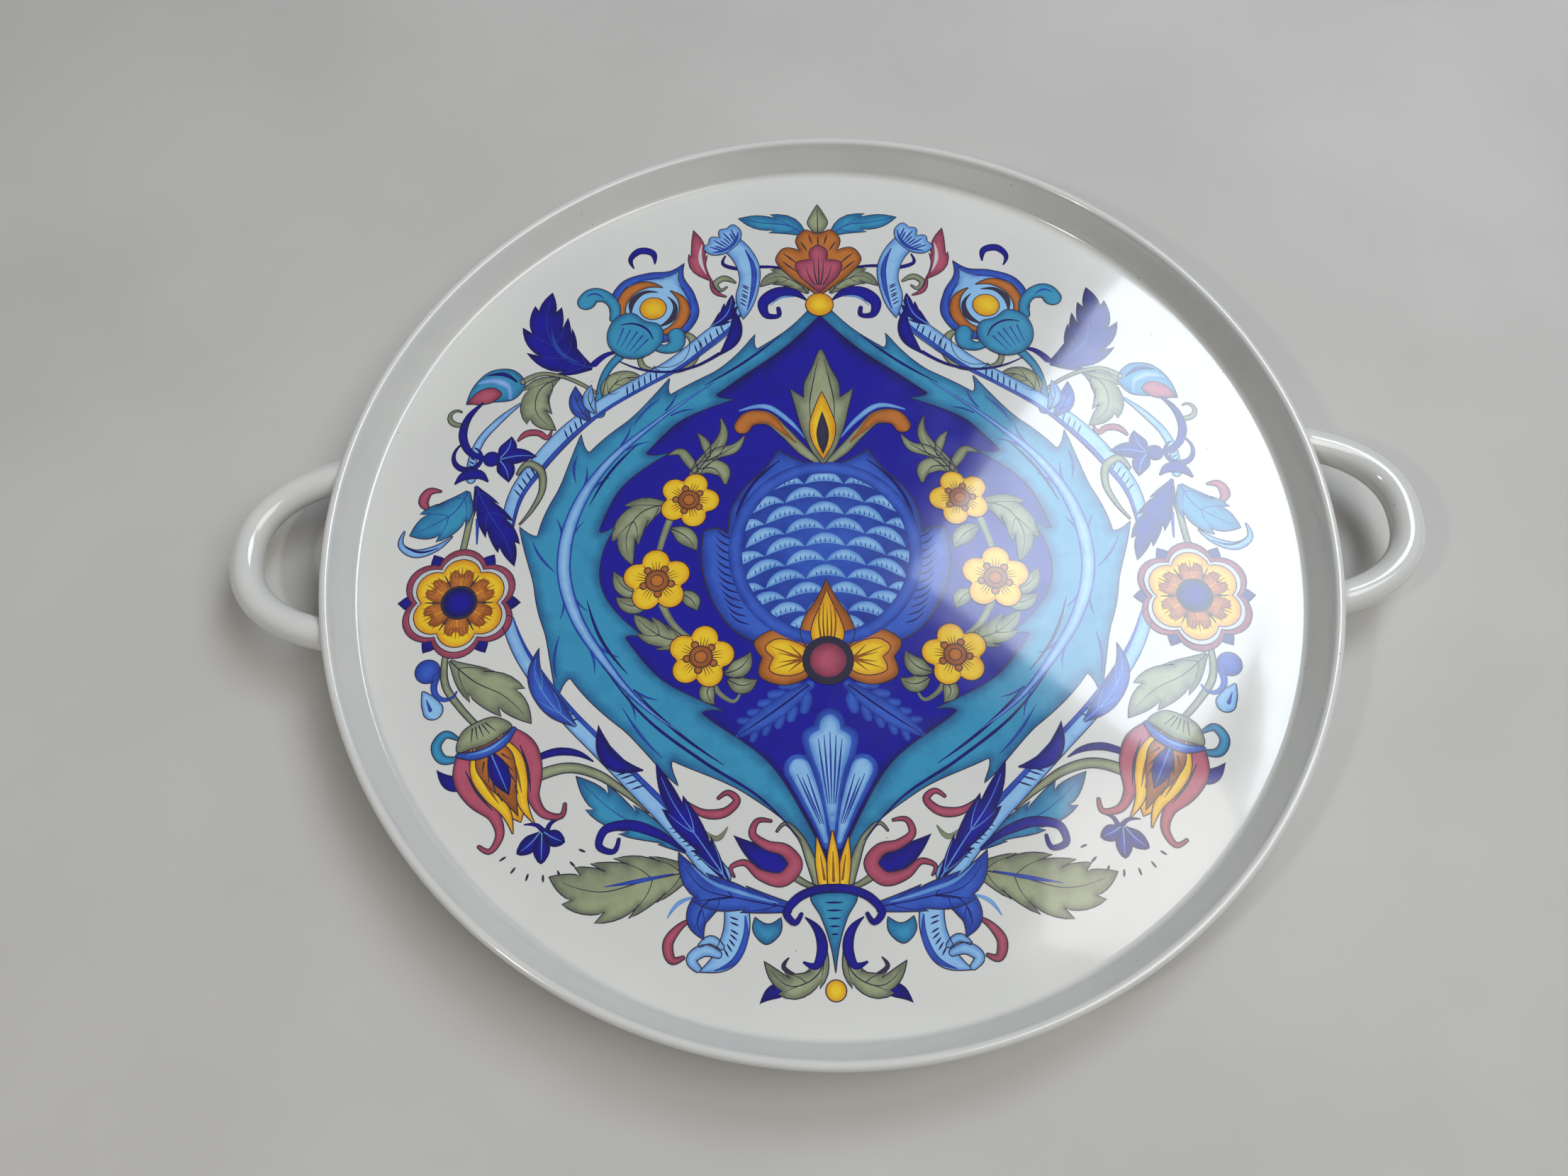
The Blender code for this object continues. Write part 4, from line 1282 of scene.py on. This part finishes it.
@on_both_sides
def scroll_foot(m):
    """Leaves and scrolls at the root of the lower stem."""
    m.leaf([(-29, -113), (-36.6, -114.4), (-39, -119), (-37, -124.6)],
           (4, 7.4, 6.4, 0), "blue", 4.4, veins=2, rib="navy")
    m.leaf([(-12, -116), (-26, -113.4), (-38, -110), (-44.8, -100)],
           (3.4, 6.4, 9.6, 7.6, 0), "blue", 5, teeth=3, depth=0.26, veins=2, rib="navy")
    m.line([(-16, -114.6), (-26, -111.8), (-36, -108), (-41, -103.6)], (0.3, 1.1, 1.1, 0.2), "sky", 6.4)
    m.line([(-28, -115), (-28, -123), (-30.6, -129), (-37.6, -133)], (6.8, 7.4, 6.8, 0.8), "sky", 3, ink=INK)
    m.line([(-25.4, -118), (-25.4, -124.6), (-28.4, -130.4), (-34, -133)], (0.4, 1.8, 1.8, 0.3), "blue", 4)
    m.ticks([(-28.6, -118), (-28.6, -124), (-31.6, -129.6)], 0.05, 0.85, 7, 2.4)
    m.line([(-33, -128.6), (-37.4, -127.6), (-40.4, -130), (-38.6, -132.4)],
           (2.2, 3.2, 3.2, 2), "sky", 3.6, ink=INK)
    m.line([(-32, -126.6), (-35.4, -124.6), (-38, -126)], (1.6, 2.4, 1.2), "sky", 3.2, ink=INK)
    m.fill([(-22.6, -118.4, 1), (-23.2, -122), (-19.4, -126), (-15.2, -122.6), (-15.2, -118.6, 1),
            (-18.8, -120.4)], "teal", 3)
    m.line([(-40, -118.6), (-44.4, -121.4), (-47.2, -126), (-45.6, -130.2), (-42.8, -129.4)],
           (0.4, 1.8, 2.8, 2.6, 1), "rose", 3, ink=INK_BOLD)
    m.line([(-39.4, -112.6), (-44.4, -114.4), (-47.6, -118.6)], (0.4, 1.2, 0.3), "sky", 2)


@on_axis
def bottom_finial(m):
    """Teal drop, scrolls and leaves at the lower point."""
    m.half([(0, -111.4), (-6.6, -113), (-3.8, -118.6), (-1.6, -125), (0, -134, 1)], "teal", 4)
    for k in range(5):
        m.line([(-2.6 + 0.4 * k, -114.6 - 2.2 * k), (2.6 - 0.4 * k, -114.6 - 2.2 * k)],
               (0.2, 0.6, 0.2), "navy", 5)
    for _ in m.mirrored():
        m.line([(-9.4, -117.8), (-11.2, -120.2), (-13.6, -117.6), (-11, -113.8), (-5.6, -111.2), (0, -110.6)],
               (1.2, 2, 2.5, 2.6, 2.6, 2.6), "navy", 11)
        m.line([(-8.4, -118.6), (-4.6, -122.6), (-3.7, -128), (-5.7, -132), (-8.8, -131)],
               (0.4, 2.4, 3.2, 2.6, 0.8), "navy", 2)
        m.leaf([(-2.5, -127), (-5.2, -134.4), (-12, -137.4), (-20, -130.6)],
               (0.6, 5.2, 7.2, 5, 0), "sage", 1, teeth=3, depth=0.34, veins=2)
        m.leaf([(-12, -138.4), (-17, -138.6), (-21.4, -142)], (2.4, 4, 0), "navy", 0.5, rib=None, ink=0)
        m.line([(-13, -129.6), (-14.6, -132), (-11.4, -134)], (0.4, 1.4, 0.4), "ink", 2)
    m.dot(0, -138.6, 2.9, "yellow", 3)


# ---------------------------------------------------------------- stage


# Camera fitted to the photo: azimuth 0 looks along +Y, and the roll is clockwise
CAMERA_AZIMUTH = math.radians(1.32)
CAMERA_ELEVATION = math.radians(66.43)
CAMERA_ROLL = math.radians(-0.80)
CAMERA_DISTANCE = 0.3816
CAMERA_TARGET = Vector((-0.0151, -0.0168, 0.0163))
CAMERA_LENS = 27.67
SENSOR_WIDTH = 36.0

ROOM_COLOUR = (0.86, 0.87, 0.89, 1.0)
ROOM_GLOW = (0.03, 0.25)  # strength of the room's light, low down and overhead
BACKDROP_GLOW = 0.52  # what the camera sees of the room
FLOOR_HALF_SIZE = 12.0
FLOOR_FADE = (0.4, 2.4, 0.0, 0.36)  # distances over which the floor starts to glow, and how much

# Name, direction (0 is +Y, turning towards +X), elevation, distance, size, power and colour
LIGHTS = (
    ("window", 42.0, 57.0, 1.25, (0.42, 0.46), 4.8, (0.80, 0.90, 1.0)),
    ("overhead", 105.0, 62.0, 1.6, (0.9, 0.9), 9.5, (1.0, 0.98, 0.95)),
    ("lamp", -125.0, 50.0, 0.9, (0.06, 0.06), 1.0, (1.0, 0.95, 0.88)),
)


def make_camera():
    flat = math.cos(CAMERA_ELEVATION)
    look = Vector((math.sin(CAMERA_AZIMUTH) * flat, math.cos(CAMERA_AZIMUTH) * flat,
                   -math.sin(CAMERA_ELEVATION)))
    level = Vector((math.cos(CAMERA_AZIMUTH), -math.sin(CAMERA_AZIMUTH), 0.0))
    up = level.cross(look)
    right = level * math.cos(CAMERA_ROLL) + up * math.sin(CAMERA_ROLL)
    top = right.cross(look)
    data = bpy.data.cameras.new("camera")
    data.lens = CAMERA_LENS
    data.sensor_width = SENSOR_WIDTH
    data.clip_start = 0.01
    camera = bpy.data.objects.new("camera", data)
    bpy.context.scene.collection.objects.link(camera)
    rotation = Matrix((right, top, -look)).transposed()
    camera.matrix_world = Matrix.Translation(CAMERA_TARGET - look * CAMERA_DISTANCE) @ rotation.to_4x4()
    bpy.context.scene.camera = camera


def add_light(name, direction_deg, elevation_deg, distance, size, power, colour):
    """Rectangular soft box that faces the plate."""
    data = bpy.data.lights.new(name, "AREA")
    data.shape = "RECTANGLE"
    data.size, data.size_y = size
    data.energy = power
    data.color = colour
    light = bpy.data.objects.new(name, data)
    bpy.context.scene.collection.objects.link(light)
    a, e = math.radians(direction_deg), math.radians(elevation_deg)
    offset = Vector((math.sin(a) * math.cos(e), math.cos(a) * math.cos(e), math.sin(e)))
    light.location = offset * distance
    light.rotation_euler = offset.to_track_quat("Z", "Y").to_euler()


def make_floor():
    """Pale floor that fades into the backdrop with its distance from the plate."""
    n = Nodes(bpy.data.materials.new("pale_floor"))
    grain = n.ramp(n.noise(9.0, 4.0), 0.3, 0.7)
    n.link(n.mix(grain, srgb(200, 198, 194), srgb(207, 205, 201)), n.shader.inputs["Base Color"])
    n.shader.inputs["Roughness"].default_value = 0.8
    away = n.add("ShaderNodeVectorMath", operation="LENGTH")
    n.link(n.place(), away.inputs[0])
    n.link(n.ramp(away.outputs["Value"], *FLOOR_FADE), n.shader.inputs["Emission Strength"])
    n.shader.inputs["Emission Color"].default_value = ROOM_COLOUR
    mesh = bpy.data.meshes.new("floor")
    half = FLOOR_HALF_SIZE
    corners = [(-half, -half, 0), (half, -half, 0), (half, half, 0), (-half, half, 0)]
    mesh.from_pydata(corners, [], [(0, 1, 2, 3)])
    floor = new_object("floor", mesh, n.owner)
    floor.location.z = -0.2 * MM


def make_world():
    """Grey room, brighter overhead, that looks like an even backdrop to the camera."""
    n = Nodes(bpy.data.worlds.new("soft_room"), "Background")
    direction = n.add("ShaderNodeSeparateXYZ")
    n.link(n.place("Generated"), direction.inputs[0])
    glow = n.ramp(direction.outputs["Z"], 0.05, 0.95, *ROOM_GLOW)
    backdrop = n.add("ShaderNodeMix", B=BACKDROP_GLOW)
    n.link(n.add("ShaderNodeLightPath").outputs["Is Camera Ray"], backdrop.inputs["Factor"])
    n.link(glow, backdrop.inputs["A"])
    n.link(backdrop.outputs["Result"], n.shader.inputs["Strength"])
    n.shader.inputs["Color"].default_value = ROOM_COLOUR
    bpy.context.scene.world = n.owner


make_camera()
make_floor()
make_world()
for light in LIGHTS:
    add_light(*light)
bpy.context.scene.view_settings.view_transform = "Standard"
